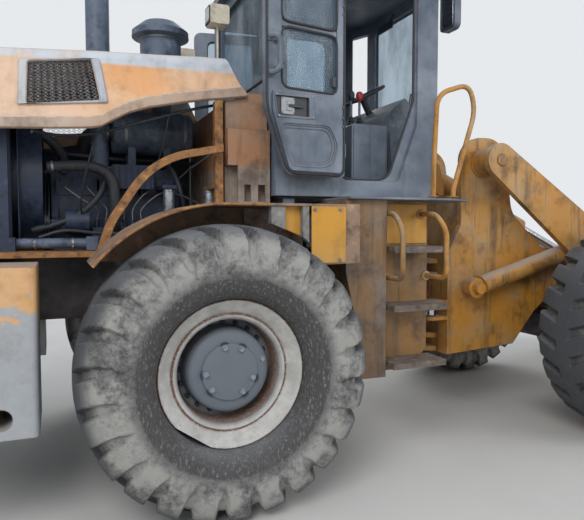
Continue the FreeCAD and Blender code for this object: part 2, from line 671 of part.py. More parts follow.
# Bulkhead between the hood and the cab, standing on the frame
bulkhead = Piece("bulkhead")
wall_low = d.rail_top + d.wheel_gap
bulkhead.pad("side", 0, outline(shifted([(150, wall_low), (430, wall_low), (430, 2440), (300, 2440), (150, 2300)], at_rear)), 1240)
upper = shifted([(150, 1970), (430, 1970), (430, 2440), (300, 2440), (290, hood_edge(290) - 5), (150, hood_edge(150) - 5)], at_rear)
bulkhead.pad("side", 0, outline(upper), 1290)
bulkhead.pair("side", 685, outline(upper[:2] + shifted([(430, 2200), (150, 2200)], at_rear)), 30)
bulkhead.pair("side", 655, outline(upper[:2] + shifted([(430, 2000), (150, 2000)], at_rear)), 80)
bulkhead.pair("side", 693, box_outline(at_rear(215), at_rear(430), 1500, 1975), 14)
for x0, x1 in ((258, 300), (350, 398)):
    for side in (-1, 1):
        bulkhead.cut("side", side * 693, box_outline(at_rear(x0), at_rear(x1), 1745, 1850), 40)

# Mudguards over the rear wheels
def fender_outline(axle_x, first, last, tail):
    outer, inner = d.fender_radius + d.fender_sheet, d.fender_radius
    centre = (axle_x, axle_z)
    a, b = polar(centre, outer, first), polar(centre, outer, last)
    c, e = polar(centre, inner, last), polar(centre, inner, first)
    mid_out, mid_in = polar(centre, outer, (first + last) / 2), polar(centre, inner, (first + last) / 2)
    edges = [Part.Arc(Vector(*a, 0), Vector(*mid_out, 0), Vector(*b, 0))]
    if tail:
        far, near = (axle_x + tail, b[1]), (axle_x + tail, c[1])
        edges += [Part.LineSegment(Vector(*b, 0), Vector(*far, 0)), Part.LineSegment(Vector(*far, 0), Vector(*near, 0)),
                  Part.LineSegment(Vector(*near, 0), Vector(*c, 0))]
    else:
        edges.append(Part.LineSegment(Vector(*b, 0), Vector(*c, 0)))
    edges += [Part.Arc(Vector(*c, 0), Vector(*mid_in, 0), Vector(*e, 0)), Part.LineSegment(Vector(*e, 0), Vector(*a, 0))]
    return edges


rear_fenders = Piece("rear_fenders")
fender_in, fender_out = ledge_out + d.wheel_gap, 1230
fender_mid, fender_wide = (fender_in + fender_out) / 2, fender_out - fender_in
rear_fenders.pair("side", fender_mid, fender_outline(rear_x, 140, 90, 560), fender_wide)
rear_fenders.pair("side", 1223, outline(shifted([(540, 1704), (799.7, 1704), (799.7, 1370), (574, 1366), (540, 1500)], at_rear)), 14)
rear_fenders.pair("side", fender_mid, box_outline(at_rear(555), at_rear(799.7), 1700, 1714), fender_wide)
skirt = shifted([(-640, 1385), (-640, 1440), (-560, 1500), (-300, 1660), (0, 1705), (540, 1705), (540, 1385)], at_rear)
rear_fenders.pair("side", fender_in + 7, outline(skirt), 14)

# Cab: floor, posts and walls in one shell, with doorways and windows cut through
cab_back, cab_sill_front, cab_nose = at_rear(447), at_rear(1675), at_rear(1830)
def cab_plan(inset):
    half = d.cab_half - inset
    slant = inset * 0.45
    return outline([(cab_back + inset, half), (cab_sill_front - slant, half), (cab_nose - inset, 400 - slant),
                    (cab_nose - inset, -400 + slant), (cab_sill_front - slant, -half), (cab_back + inset, -half)])


cab = Piece("cab_shell")
cab.pad("top", (d.cab_floor + d.cab_eaves) / 2, cab_plan(0), d.cab_eaves - d.cab_floor)
cab.cut("top", (d.cab_floor + 70 + d.cab_eaves + 100) / 2, cab_plan(d.cab_wall), d.cab_eaves + 100 - d.cab_floor - 70)
doorway = shifted([(914, 1899, 60), (1290, 1899, 120), (1495, 2460, 200), (1495, 3285, 60), (914, 3285, 60)], at_rear)
cab.cut("side", 0, outline(doorway), 2000)
side_window = shifted([(520, 2380, 50), (860, 2380, 50), (860, 3285, 50), (520, 3285, 50)], at_rear)
cab.cut("side", 0, outline(side_window), 2000)
corner_window = shifted([(1700, 2060), (1795, 2060), (1795, 3300), (1700, 3300)], at_rear)
cab.cut("side", 0, outline(corner_window), 2000)
cab.cut("front", cab_nose, box_outline(-355, 355, 2060, 3300, 50), 200)
cab.cut("front", cab_back, box_outline(-600, 600, 2560, 3285, 60), 200)
roof = Piece("cab_roof")
roof.pad("top", (d.cab_eaves + d.roof_top - 30) / 2, outline([(cab_back - 60, 800, 80), (cab_nose - 40, 800, 200), (cab_nose + 50, 430, 100),
         (cab_nose + 50, -430, 100), (cab_nose - 40, -800, 200), (cab_back - 60, -800, 80)]), d.roof_top - 30 - d.cab_eaves)
roof.pad("top", d.roof_top - 15, outline([(cab_back + 20, 700, 80), (cab_nose - 60, 700, 150), (cab_nose - 60, -700, 150), (cab_back + 20, -700, 80)]), 30)

glass = Piece("cab_glass")
glass.pad("front", cab_nose - 25, box_outline(-354.7, 354.7, 2060.3, 3299.7, 50), "sizes.glass_thick")
glass.pad("front", cab_back + 25, box_outline(-599.7, 599.7, 2560.3, 3284.7, 60), "sizes.glass_thick")
glass.pair("side", d.cab_half - 25, outline(shifted([(520.3, 2380.3, 50), (859.7, 2380.3, 50), (859.7, 3284.7, 50), (520.3, 3284.7, 50)], at_rear)),
           "sizes.glass_thick")

# Doors: hung outside the wall behind the doorway, standing open, folded back along the cab
HINGE_X, HINGE_Y = at_rear(900), 800
def door(side, name):
    leaf = Piece("door_" + name)
    width = d.door_width
    # in the closed door's own run, from the hinge forwards
    face = [(14, d.door_low, 30), (width - 150, d.door_low, 60), (width, d.door_low + 400, 80), (width, d.door_high, 60),
            (14, d.door_high, 30)]
    middle = -(8 + d.door_thick / 2) * side
    leaf.pad("side", middle, outline(face), "sizes.door_thick")
    pane = [(80, 2426, 50), (width - 115, 2426, 50), (width - 115, d.door_high - 70, 50), (80, d.door_high - 70, 50)]
    leaf.cut("side", middle, outline(pane), 100)
    leaf.pad("side", middle, box_outline(70, width - 100, 2790, 2822), 24)
    grip = middle - side * (d.door_thick / 2 + 55)
    leaf.pad("side", grip, box_outline(width - 85, width - 60, 2515, 2705, 8), 20)
    for z in (2535, 2685):
        leaf.pad("side", middle - side * (d.door_thick / 2 + 30), circle(width - 72, z, 10), 66)
    for z in (2080, 3120):
        leaf.pad("top", z, outline([(-16, -16 * side), (16, -16 * side), (40, -12 * side), (40, 16 * side), (-16, 16 * side)]), 90)
        leaf.cut("top", z, circle(0, 0, 10), 120)
    pane_glass = Piece("door_glass_" + name)
    inner = [(80.3, 2426.3, 50), (width - 115.3, 2426.3, 50), (width - 115.3, 2789.7), (80.3, 2789.7)]
    upper = [(80.3, 2822.3), (width - 115.3, 2822.3), (width - 115.3, d.door_high - 70.3, 50), (80.3, d.door_high - 70.3, 50)]
    for run in (inner, upper):
        pane_glass.pad("side", middle, outline(run), "sizes.glass_thick")
    for piece in (leaf, pane_glass):
        piece.place(HINGE_X, side * HINGE_Y, 0, Vector(0, 0, side), d.door_open)
    for z in (2080, 3120):
        bracket = [(-30, d.cab_half - 1), (5, d.cab_half - 1), (9, HINGE_Y), (5, HINGE_Y + 8), (-5, HINGE_Y + 8), (-9, HINGE_Y)]
        cab.pad("top", z + 75, outline([(HINGE_X + u, side * v) for u, v in bracket]), 58)
        cab.pad("top", z, circle(HINGE_X, side * HINGE_Y, 9.7), 100)


door(1, "left")
door(-1, "right")


# Tanks between the wheels, with the step treads on their outer faces
tank_inner = 620
tank_top = d.platform_top - 14 - d.wheel_gap
tanks = Piece("side_tanks")
tanks.pair("side", (tank_inner + d.tank_outer) / 2,
           outline(shifted([(800, tank_top), (800, 1300), (870, 1000), (870, 620), (1090, 620), (1090, tank_top)], at_rear)),
           d.tank_outer - tank_inner)
recess_y = 900
tanks.pair("side", (tank_inner + recess_y) / 2,
           outline(shifted([(1080, 620), (1400, 620), (1500, 760), (1500, tank_top), (1080, tank_top)], at_rear)),
           recess_y - tank_inner)
rail_side = d.rail_y + d.rail_thick / 2
tanks.pair("side", (rail_side + d.wheel_gap + tank_inner + 1) / 2, box_outline(at_rear(1100), at_rear(1200), 1250, 1390),
           tank_inner + 1 - rail_side - d.wheel_gap)
steps = Piece("steps")
step_in, step_out = recess_y + d.wheel_gap, 1110
for z in (1445, 1070, 700):
    tread = [(step_in, z - 20), (step_in, z + 12), (step_out, z + 12), (step_out, z - 28), (step_out - 12, z - 28),
             (step_out - 12, z - 20)]
    for sign in (-1, 1):
        steps.pad("front", at_rear(1315), outline([(sign * y, v) for y, v in tread]), 400)

# Platform beside and below the cab, on posts from the rails, with the cab's rubber mounts
platform = Piece("cab_platform")
platform_low = d.platform_top - 14
for sign in (-1, 1):
    plan = [(at_rear(x), sign * y) for x, y in ((800, 560), (1640, 560), (1770, 740), (1770, 980), (1560, 1100), (800, 1100))]
    platform.pad("top", d.platform_top - 7, outline(plan), 14)
    for x in (560, 1190):
        post = box_outline(at_rear(x - 40), at_rear(x + 40), *sorted((sign * (rail_side - 60), sign * (rail_side + 20))))
        platform.pad("top", (d.rail_top + d.wheel_gap + platform_low) / 2, post, platform_low - d.rail_top - d.wheel_gap)
        platform.pad("top", (d.platform_top + d.cab_floor - d.wheel_gap) / 2, circle(at_rear(x), sign * 580, 60),
                     d.cab_floor - d.wheel_gap - d.platform_top)
for x, half in ((560, 700), (1190, 600)):
    platform.pad("top", (1690 + d.platform_top) / 2, box_outline(at_rear(x - 40), at_rear(x + 40), -half, half), d.platform_top - 1690)

# Hand rails: the loop before the cab door and the short grips by the steps
rail_shapes = []
rail_foot = d.platform_top + d.wheel_gap
for side in (-1, 1):
    rail_shapes.append(pipe(both_sides([(at_rear(1510), 950, rail_foot), (at_rear(1510), 950, 1960), (at_rear(1532), 950, 2474), (at_rear(1792), 950, 2560),
                                        (at_rear(1846), 950, 2386), (at_rear(1672), 950, 1840), (at_rear(1672), 950, rail_foot)], side),
                            d.rail_tube, 55))
    rail_shapes.append(pipe(both_sides([(at_rear(1130), recess_y + d.wheel_gap, 1668), (at_rear(1130), 1080, 1668),
                                        (at_rear(1160), 1130, 1560), (at_rear(1160), 1130, 1250),
                                        (at_rear(1160), recess_y + d.wheel_gap, 1250)], side), d.rail_tube, 45))
    rail_shapes.append(pipe(both_sides([(at_rear(1440), recess_y + d.wheel_gap, 1668), (at_rear(1440), 1080, 1668),
                                        (at_rear(1490), 1130, 1560), (at_rear(1490), 1130, 1250),
                                        (at_rear(1490), recess_y + d.wheel_gap, 1250)], side), d.rail_tube, 45))
assembled("hand_rails", rail_shapes)

# Inside the cab: seat, side console with levers, and the dash with the steering wheel
cab_deck = d.cab_floor + 70 + d.wheel_gap
seat = Piece("seat")
seat.pad("side", 0, box_outline(at_rear(700), at_rear(1040), cab_deck, cab_deck + 220), 340)
seat.pad("side", 0, box_outline(at_rear(640), at_rear(1110), cab_deck + 200, cab_deck + 330, 50), 500)
seat.pad("side", 0, outline(shifted([(640, cab_deck + 300), (760, cab_deck + 300), (690, cab_deck + 900, 50), (570, cab_deck + 900, 50)],
                                    at_rear)), 480)
console = Piece("side_console")
console.pad("side", -400, box_outline(at_rear(1125), at_rear(1420), cab_deck, 2325, 20), 200)
for x in (1170, 1240):
    console.pad("top", 2420, circle(at_rear(x), -400, 9), 210)
    console.pad("top", 2540, circle(at_rear(x), -400, 20), 50)
dash = prism("side", 0, outline(shifted([(1510, cab_deck), (1700, cab_deck), (1700, 2430), (1600, 2560, 40), (1460, 2430, 40)], at_rear)), 900)
wheel_centre = Vector(at_rear(1480), 0, 2640)
steering = solid_from(facet_turned(Vector(0, 0, 0), [(-11, 178), (-11, 202), (11, 202), (11, 178)], 16, closed=True))
spokes = [Part.makeBox(360, 12, 28, Vector(-180, -6, -14)), Part.makeBox(28, 12, 360, Vector(-14, -6, -180)),
          Part.makeBox(76, 28, 76, Vector(-38, -14, -38))]
wheel_shape = steering.multiFuse(spokes)
wheel_shape.Placement = Placement(wheel_centre, Rotation(Vector(0, 1, 0), -28).multiply(Rotation(Vector(1, 0, 0), 90)))
column_foot = wheel_centre + Vector(math.sin(math.radians(28)), 0, -math.cos(math.radians(28))) * 200
assembled("dash", [dash, wheel_shape, pipe([tuple(wheel_centre), tuple(column_foot)], 28)])

# Front frame: side plates rising to the boom tower, cross plates and hinge plates
boom_pin = (d.boom_pin_x, d.boom_pin_z)
tilt_foot = (d.tilt_foot_x, d.tilt_foot_z)
lift_foot = (d.lift_foot_x, d.lift_foot_z)
tower = [(5, 560), (5, 1380), (125, 1600), (125, 2300, 190), (540, 2300, 190), (640, 1700, 200), (960, 1420), (1600, 1200),
         (1660, 1080, 40), (1600, 985), (1060, 985), (900, 860), (680, 600)]
front_frame = Piece("front_frame")
front_frame.pair("side", "sizes.plate_y", outline(tower), "sizes.plate_thick")
front_frame.pad("front", 25, box_outline(-d.plate_y, d.plate_y, 560, 1380), 40)
front_frame.cut("front", 25, circle(0, SHAFT_Z, 110), 80)
front_frame.pad("front", 165, box_outline(-d.plate_y, d.plate_y, 1430, 1850), 40)
front_frame.pad("front", 1560, box_outline(-d.plate_y, d.plate_y, 990, 1120), 40)
deck = [(300, 1385), (900, 1385), (1580, 1130), (1580, 1100), (890, 1355), (300, 1355)]
front_frame.pad("side", 0, outline(deck), 2 * d.plate_y)
axle_seat = box_outline(front_x - 160, front_x + 160, axle_z + d.axle_tube + d.wheel_gap, 1000)
front_frame.pair("side", "sizes.plate_y", axle_seat, 120)
hinge_plan = [(25, -300), (at_pivot(40), -130), (at_pivot(-110), -110, 60), (at_pivot(-110), 110, 60), (at_pivot(40), 130), (25, 300)]
for z in HINGE_PLATES:
    front_frame.pad("top", z + 55, outline(hinge_plan), 40)
    front_frame.pad("top", z - 55, outline(hinge_plan), 40)
    front_frame.pad("top", z, circle(d.pivot_x, 0, 60), 150)
tilt_lug = [(160, 1500), (185, 1500), (185, 1900), (130, 2120, 40), (0, 2120, 50), (0, 1980, 50), (140, 1840)]
front_frame.pair("side", 107, outline(tilt_lug), 30)
front_frame.pad("side", 0, circle(*tilt_foot, 40), 230)
for sign in (-1, 1):
    lug = [(25, sign * 270), (25, sign * 425), (at_pivot(d.steer_eye - 55), sign * 425, 50), (at_pivot(d.steer_eye - 55), sign * 300, 50)]
    for z in (d.steer_z + 65, d.steer_z - 65):
        front_frame.pad("top", z, outline(lug), 30)

# Pins that the boom and the lift cylinders turn on, welded to the tower's outer faces
plate_face = d.plate_y + d.plate_thick / 2
pins = Piece("tower_pins")
for centre, radius, end in ((boom_pin, d.pin_radius, 660), (boom_pin, 120, 440), (lift_foot, d.pin_radius, 600)):
    pins.pair("side", (plate_face + end) / 2, circle(*centre, radius), end - plate_face)

# Boom: two arms, cross tube and rocker ear
knee = (1800, 1080)
bucket_pin = (d.bucket_pin_x, d.bucket_pin_z)
rocker_pin = (d.rocker_x, d.rocker_z)
lift_eye = (d.lift_eye_x, d.lift_eye_z)
cross = polar(rocker_pin, 260, 195)
boom = Piece("boom")
boom.pair("side", "sizes.boom_y", bar_outline(boom_pin, knee, 130, 220), "sizes.boom_thick")
boom.pair("side", "sizes.boom_y", bar_outline(knee, bucket_pin, 220, 118), "sizes.boom_thick")
boom.pair("side", 547, circle(*boom_pin, 110), 204)
boom.pair("side", "sizes.boom_y", circle(*bucket_pin, 95), 70)
boom.pad("side", 0, circle(*cross, 95), 2 * d.boom_y)
boom.pad("side", 0, bar_outline(cross, rocker_pin, 90, 85), 80)
boom.pair("side", 582, circle(*lift_eye, 80), 50)
for pin in (boom_pin, bucket_pin):
    boom.cut("side", 0, circle(*pin, d.pin_radius + d.pin_gap), 1400)
boom.cut("side", 0, circle(*rocker_pin, d.pin_radius + d.pin_gap), 100)

# Rocker and link: the link arms on rocker and bucket are alike, so the bucket turns with the rocker
link_top = polar(rocker_pin, d.link_arm, d.link_lean)
link_end = polar(bucket_pin, d.link_arm, d.link_lean)
tilt_eye = polar(rocker_pin, d.tilt_arm, d.tilt_lean)
rocker = Piece("rocker")
rocker.pair("side", 65, bar_outline(rocker_pin, link_top, 95, 70), 30)
rocker.pair("side", 65, bar_outline(rocker_pin, tilt_eye, 95, 68), 30)
rocker.pad("side", 0, circle(*rocker_pin, d.pin_radius), 160)
rocker.pair("side", 101, circle(*link_top, 38), 46)
link = Piece("bucket_link")
link.pair("side", 105, bar_outline(link_top, link_end, 66, 66), 30)
tie = [link_top[i] + 0.7 * (link_end[i] - link_top[i]) for i in (0, 1)]
link.pad("side", 0, circle(*tie, 35), 200)
for pin in (link_top, link_end):
    link.cut("side", 0, circle(*pin, 38 + d.pin_gap), 400)

# Bucket: shell, cheeks, ears, and the cutting edge with its teeth
wall = d.bucket_wall
floor_z = 0.5
lip_x = 3740
shell = [(lip_x, floor_z), (2840, floor_z, 260), (2840, 700, 300), (2960, 1290), (2960 + wall, 1284),
         (2840 + wall, 696, 300), (2840 + wall, floor_z + wall, 230), (lip_x, floor_z + wall)]
cheek = [(lip_x, floor_z), (2840, floor_z, 260), (2840, 700, 300), (2960, 1290), (3020, 1278), (3600, 480, 300), (lip_x, 240)]
bucket = Piece("bucket")
bucket.pad("side", 0, outline(shell), 2 * 1480)
bucket.pair("side", 1480, outline(cheek), 30)
for y in (565, 685):
    bucket.pair("side", y, outline([(2858, 110), (2858, 600), (2680, 412), (2680, 228)]), 30)
    bucket.pair("side", y, circle(*bucket_pin, 92), 30)
bucket.pair("side", 625, circle(*bucket_pin, d.pin_radius), 150)
bucket.pair("side", 65, outline([(2858, 560), (2858, 900), (2735, 788), (2700, 648)]), 30)
bucket.pair("side", 65, circle(*link_end, 68), 30)
bucket.pair("side", 101, circle(*link_end, 38), 46)
edge = Piece("bucket_edge")
lip = lip_x + d.wheel_gap
edge.pad("side", 0, outline([(lip, floor_z), (3900, floor_z), (3900, 12), (3830, 42), (lip, 42)]), 2 * d.bucket_half)
tooth = [(lip + 5, floor_z), (lip + 5, 42), (3830, 92), (d.tip_x, 26), (d.tip_x, 10), (3900, floor_z)]
for k in range(8):
    edge.pad("side", (k - 3.5) * 2 * 1440 / 7, outline(tooth), 90)


# Cylinders: a hollow barrel on its foot pin, and a rod with its eye; drawn along +X and then turned
def cylinder(name, foot, eye, across, barrel, rod, pin, barrel_length, rod_length, eye_half, wall=35, flat=False):
    reach = math.dist(foot, eye)
    lean = math.degrees(math.atan2(eye[1] - foot[1], eye[0] - foot[0]))
    tube = Piece(name + "_barrel")
    stem = Piece(name + "_rod")
    plane = "top" if flat else "side"
    tube.turn(plane, 0, box_outline(pin + 25, barrel_length, 0, barrel))
    tube.pad(plane, 0, circle(0, 0, pin + wall), 2 * eye_half)
    tube.cut(plane, 0, circle(0, 0, pin + d.pin_gap), 2 * eye_half + 20)
    tube.bore(plane, box_outline(pin + 55, barrel_length + 10, 0, rod + 1))
    stem.turn(plane, 0, box_outline(reach - rod_length, reach - pin, 0, rod))
    stem.pad(plane, 0, circle(reach, 0, pin + wall), 2 * eye_half)
    for piece in (tube, stem):
        if flat:
            piece.place(foot[0], foot[1], across, Vector(0, 0, 1), lean)
        else:
            piece.place(foot[0], across, foot[1], Vector(0, 1, 0), -lean)


for sign, name in ((1, "left"), (-1, "right")):
    cylinder("lift_" + name, lift_foot, lift_eye, sign * d.lift_y, 72, 42, 45, 1095, 1085, 40)
    steer_foot = (at_pivot(d.steer_foot), sign * d.steer_foot_y)
    steer_eye = (at_pivot(d.steer_eye), sign * d.steer_eye_y)
    cylinder("steer_" + name, steer_foot, steer_eye, d.steer_z, 48, 26, 28, 640, 640, 38, 26, True)
cylinder("tilt", tilt_foot, tilt_eye, 0, 80, 42, 40, 1150, 1350, 38)

# Drive line between the engine and the axles
gearbox = Piece("transmission")
gearbox.pad("side", 0, outline(shifted([(330, 760), (740, 700), (800, 740), (800, 1000), (760, 1360), (380, 1400), (330, 1250)], at_rear)), 600)
assembled("shaft_rear", [
    pipe([(at_rear(260) + d.wheel_gap, 0, SHAFT_Z), (at_rear(330) - d.wheel_gap, 0, SHAFT_Z)], 45, sides=12),
    pipe([(at_rear(800) + d.wheel_gap, 0, SHAFT_Z), (at_pivot(-40), 0, SHAFT_Z)], 45, sides=12)])
assembled("shaft_front", [
    pipe([(at_pivot(40), 0, SHAFT_Z), (front_x - 260 - d.wheel_gap, 0, SHAFT_Z)], 45, sides=12)])

# Lamps: two working lamps on stalks on the hood, and two tail lamps on the guard
lamp_x = at_rear(142)
stalk_y = 500
hood_flat = hood_points(142, d.hood_low)[0]
slope = (hood_flat[3][1] - hood_flat[2][1]) / hood_flat[2][0]
stalk_foot = hood_flat[3][1] - slope * stalk_y + 1
lamp_shapes = []
for sign in (-1, 1):
    stalk = pipe([(lamp_x, sign * stalk_y, stalk_foot), (lamp_x, sign * stalk_y, 2890)], 8)
    housing = prism("side", sign * stalk_y, box_outline(lamp_x - 62, lamp_x + 63, 2880, 3000, 15), 130)
    lamp_shapes.append(stalk.fuse(housing))
    tail = box_outline(at_rear(-1850), at_rear(-1820) - d.wheel_gap, 1480, 1570)
    lamp_shapes.append(prism("side", sign * 600, tail, 70))
assembled("lamps", lamp_shapes)

# Mirrors on bent tubes
mirror_shapes = []
for side in (-1, 1):
    arm = [(at_rear(1688) + k * 0.914, 720.6 + k * 0.405, 3200) for k in (d.wheel_gap, 80)]
    arm += [(at_rear(1660), 940, 3180), (at_rear(1660), 940, 2950)]
    mirror_shapes.append(pipe(both_sides(arm, side), 11, 30))
    mirror_shapes.append(prism("front", at_rear(1635), outline([(side * u, v, 40) for u, v in ((860, 2900), (1020, 2900), (1020, 3170), (860, 3170))]), 50))
assembled("mirrors", mirror_shapes)

doc.recompute()
for thing in doc.Objects:
    if {"Invalid", "Error"} & set(thing.State):
        raise RuntimeError(f"{thing.Label} is {thing.State}")
for label, piece in nodes.items():
    if piece.Shape.isNull() or not piece.Shape.isValid() or not piece.Shape.Solids:
        raise RuntimeError(f"{label} has no valid solid")
    piece.Shape.exportStep(f"parts/{label}.step")
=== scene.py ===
# %% [markdown]
# # A wheel loader in its working coat
# The machine is a wheel loader of the five tonne class: a rear frame with counterweight, engine, hood and
# cab, hinged to a front frame that carries the boom and the bucket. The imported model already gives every
# piece at its real size, so this lesson adds only what the eye wants: paint, rust, dust, rubber and the small
# parts.

# %%
import math

import bmesh
import bpy
import numpy as np
from mathutils import Matrix, Vector


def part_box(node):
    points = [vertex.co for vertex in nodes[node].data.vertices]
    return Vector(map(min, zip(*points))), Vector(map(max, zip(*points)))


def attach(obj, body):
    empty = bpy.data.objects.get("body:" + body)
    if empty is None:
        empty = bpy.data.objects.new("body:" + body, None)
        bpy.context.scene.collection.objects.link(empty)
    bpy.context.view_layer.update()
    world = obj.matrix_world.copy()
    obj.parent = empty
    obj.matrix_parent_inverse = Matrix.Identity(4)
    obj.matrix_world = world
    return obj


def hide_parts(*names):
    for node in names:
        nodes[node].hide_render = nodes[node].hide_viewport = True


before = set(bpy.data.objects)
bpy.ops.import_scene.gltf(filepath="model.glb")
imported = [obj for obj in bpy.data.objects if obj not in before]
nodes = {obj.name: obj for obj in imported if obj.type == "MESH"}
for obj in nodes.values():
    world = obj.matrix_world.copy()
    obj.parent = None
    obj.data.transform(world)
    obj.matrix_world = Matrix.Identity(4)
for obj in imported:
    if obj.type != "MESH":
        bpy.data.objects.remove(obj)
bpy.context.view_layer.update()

# %% [markdown]
# ## Where the machine stands in its own frame
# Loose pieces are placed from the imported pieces, so they stay right when a size changes. The two axles give
# most of them: a point is written as so far ahead of the rear axle.

# %%
def middle(node):
    low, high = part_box(node)
    return (low + high) / 2


rear_axle = middle("rim_rear_left").x
front_axle = middle("rim_front_left").x
axle_height = middle("rim_rear_left").z


def ahead(x, y, z):
    """A point given from the rear axle."""
    return Vector((rear_axle + x, y, z))


print("axles at", round(rear_axle, 3), round(front_axle, 3), "height", round(axle_height, 3))

# %% [markdown]
# ## Colour and nodes
# Paint makers and cameras give colours in sRGB, but light adds up in linear numbers, so one function turns
# one into the other. A second one adds a shader or geometry node with its settings and its links.

# %%
def tint(code):
    """An sRGB hex colour as linear light."""
    parts = [int(code[i:i + 2], 16) / 255 for i in (0, 2, 4)]
    return tuple(c / 12.92 if c <= 0.04045 else ((c + 0.055) / 1.055) ** 2.4 for c in parts) + (1.0,)


def add(tree, kind, inputs=None, **settings):
    """Adds a node. Settings are its own choices, and inputs are plain values or links for its sockets."""
    node = tree.nodes.new(kind)
    for name, value in settings.items():
        setattr(node, name, value)
    for socket, value in (inputs or {}).items():
        if isinstance(value, bpy.types.NodeSocket):
            tree.links.new(value, node.inputs[socket])
        else:
            node.inputs[socket].default_value = value
    return node


def between(tree, value, low, high, to_low=0.0, to_high=1.0):
    """How far a value is from low to high, eased at both ends."""
    inputs = {"Value": value, "From Min": low, "From Max": high, "To Min": to_low, "To Max": to_high}
    return add(tree, "ShaderNodeMapRange", inputs, interpolation_type="SMOOTHSTEP").outputs["Result"]


def noise(tree, place, size, detail=4.0, rough=0.6, squeeze=(1, 1, 1)):
    """Cloudy pattern whose blots are about `size` metres across."""
    if squeeze != (1, 1, 1):
        place = add(tree, "ShaderNodeMapping", {"Vector": place, "Scale": squeeze}).outputs["Vector"]
    inputs = {"Vector": place, "Scale": 1 / size, "Detail": detail, "Roughness": rough}
    return add(tree, "ShaderNodeTexNoise", inputs).outputs["Fac"]


def blended(tree, share, first, second, blend_type="MIX"):
    """First colour where share is 0, second where it is 1."""
    inputs = {0: share, 6: first, 7: second}
    return add(tree, "ShaderNodeMix", inputs, data_type="RGBA", blend_type=blend_type).outputs[2]


def sums(tree, operation, *values, clamp=False):
    return add(tree, "ShaderNodeMath", dict(enumerate(values)), operation=operation,
               use_clamp=clamp).outputs[0]


def new_finish(name):
    """An empty material with its shader, and the object's own coordinates to draw patterns on."""
    finish = bpy.data.materials.new(name)
    finish.use_nodes = True
    tree = finish.node_tree
    place = add(tree, "ShaderNodeTexCoord").outputs["Object"]
    return finish, tree, tree.nodes["Principled BSDF"], place

# %% [markdown]
# ## Weathered enamel
# Machines are sprayed with alkyd enamel, a hard oil paint. Outdoors it fades to a chalky tone, rain draws
# dirt down it in streaks, dust settles where it lies flat, and knocks along the edges let the steel under it
# rust. Each of these is one mask here. The edge mask compares the true normal with one that a Bevel node has
# rounded: they differ only next to an edge, which is where paint chips first.

# %%
CHIP_WIDTH = 0.007


def enamel(name, paint, faded, dust="a3978a", stain="4a3d35", rust="57301c", wear=0.5, dirt=0.5,
           streaks=0.5, gloss=0.42, overlay=None):
    """Sprayed machinery paint. `wear`, `dirt` and `streaks` say how much, and `overlay` may repaint areas."""
    finish, tree, shader, place = new_finish(name)
    surface = add(tree, "ShaderNodeNewGeometry")
    rounded = add(tree, "ShaderNodeBevel", {"Radius": CHIP_WIDTH}, samples=4).outputs["Normal"]
    likeness = add(tree, "ShaderNodeVectorMath", {0: rounded, 1: surface.outputs["True Normal"]},
                   operation="DOT_PRODUCT").outputs["Value"]
    edge = between(tree, likeness, 0.995, 0.80)
    colour = blended(tree, between(tree, noise(tree, place, 0.7), 0.38, 0.66), tint(paint), tint(faded))
    if overlay:
        colour = overlay(tree, place, colour)
    run = noise(tree, place, 0.09, 5, 0.65, (1, 1, 0.09))
    colour = blended(tree, between(tree, run, 0.5, 0.72, 0, streaks), colour, tint(stain))
    grime = noise(tree, place, 0.22, 8, 0.7)
    colour = blended(tree, between(tree, grime, 0.46, 0.7, 0, dirt), colour, tint(stain))
    upward = add(tree, "ShaderNodeSeparateXYZ", {0: surface.outputs["Normal"]}).outputs["Z"]
    settled = sums(tree, "MULTIPLY", between(tree, upward, 0.25, 0.95),
                   between(tree, grime, 0.2, 0.55, 0.45, 0.95))
    film = sums(tree, "MAXIMUM", settled,
                between(tree, noise(tree, place, 0.35, 6), 0.45, 0.75, 0, 0.45 * dirt))
    colour = blended(tree, film, colour, tint(dust))
    speck = noise(tree, place, 0.035, 8, 0.72)
    knock = sums(tree, "ADD", speck, sums(tree, "MULTIPLY", edge, 0.3))
    limit = 0.78 - 0.16 * wear
    halo = between(tree, knock, limit - 0.06, limit + 0.02, 0, 0.75)
    bare = between(tree, knock, limit, limit + 0.03)
    colour = blended(tree, halo, colour, tint(stain))
    oxide = blended(tree, between(tree, speck, 0.4, 0.7), tint(rust), tint("7d4a2a"))
    colour = blended(tree, bare, colour, oxide)
    rough = sums(tree, "MAXIMUM", between(tree, grime, 0.3, 0.7, gloss, gloss + 0.25),
                 sums(tree, "MAXIMUM", film, bare))
    rough = sums(tree, "MINIMUM", rough, 0.9)
    height = sums(tree, "SUBTRACT", sums(tree, "MULTIPLY", speck, 0.25), sums(tree, "MULTIPLY", bare, 0.5))
    bump = add(tree, "ShaderNodeBump", {"Height": height, "Distance": 0.0012, "Strength": 0.6,
                                        "Normal": rounded})
    tree.links.new(colour, shader.inputs["Base Color"])
    tree.links.new(rough, shader.inputs["Roughness"])
    tree.links.new(bump.outputs["Normal"], shader.inputs["Normal"])
    return finish

# %% [markdown]
# ## The paints of this machine
# Above the side crease the hood carries a faded blue-grey band, and the rest of it has bleached from orange
# to peach. The cab, its doors and the step bar are slate, and the frames, tanks and boom are deep yellow
# under oil and soil. The counterweight is cast iron: yellow has worn off its lower half down to the grey
# skin.

# %%
BAND_EDGE = 2.535
BAND_BLUR = 0.012
IRON_LINE = 1.12


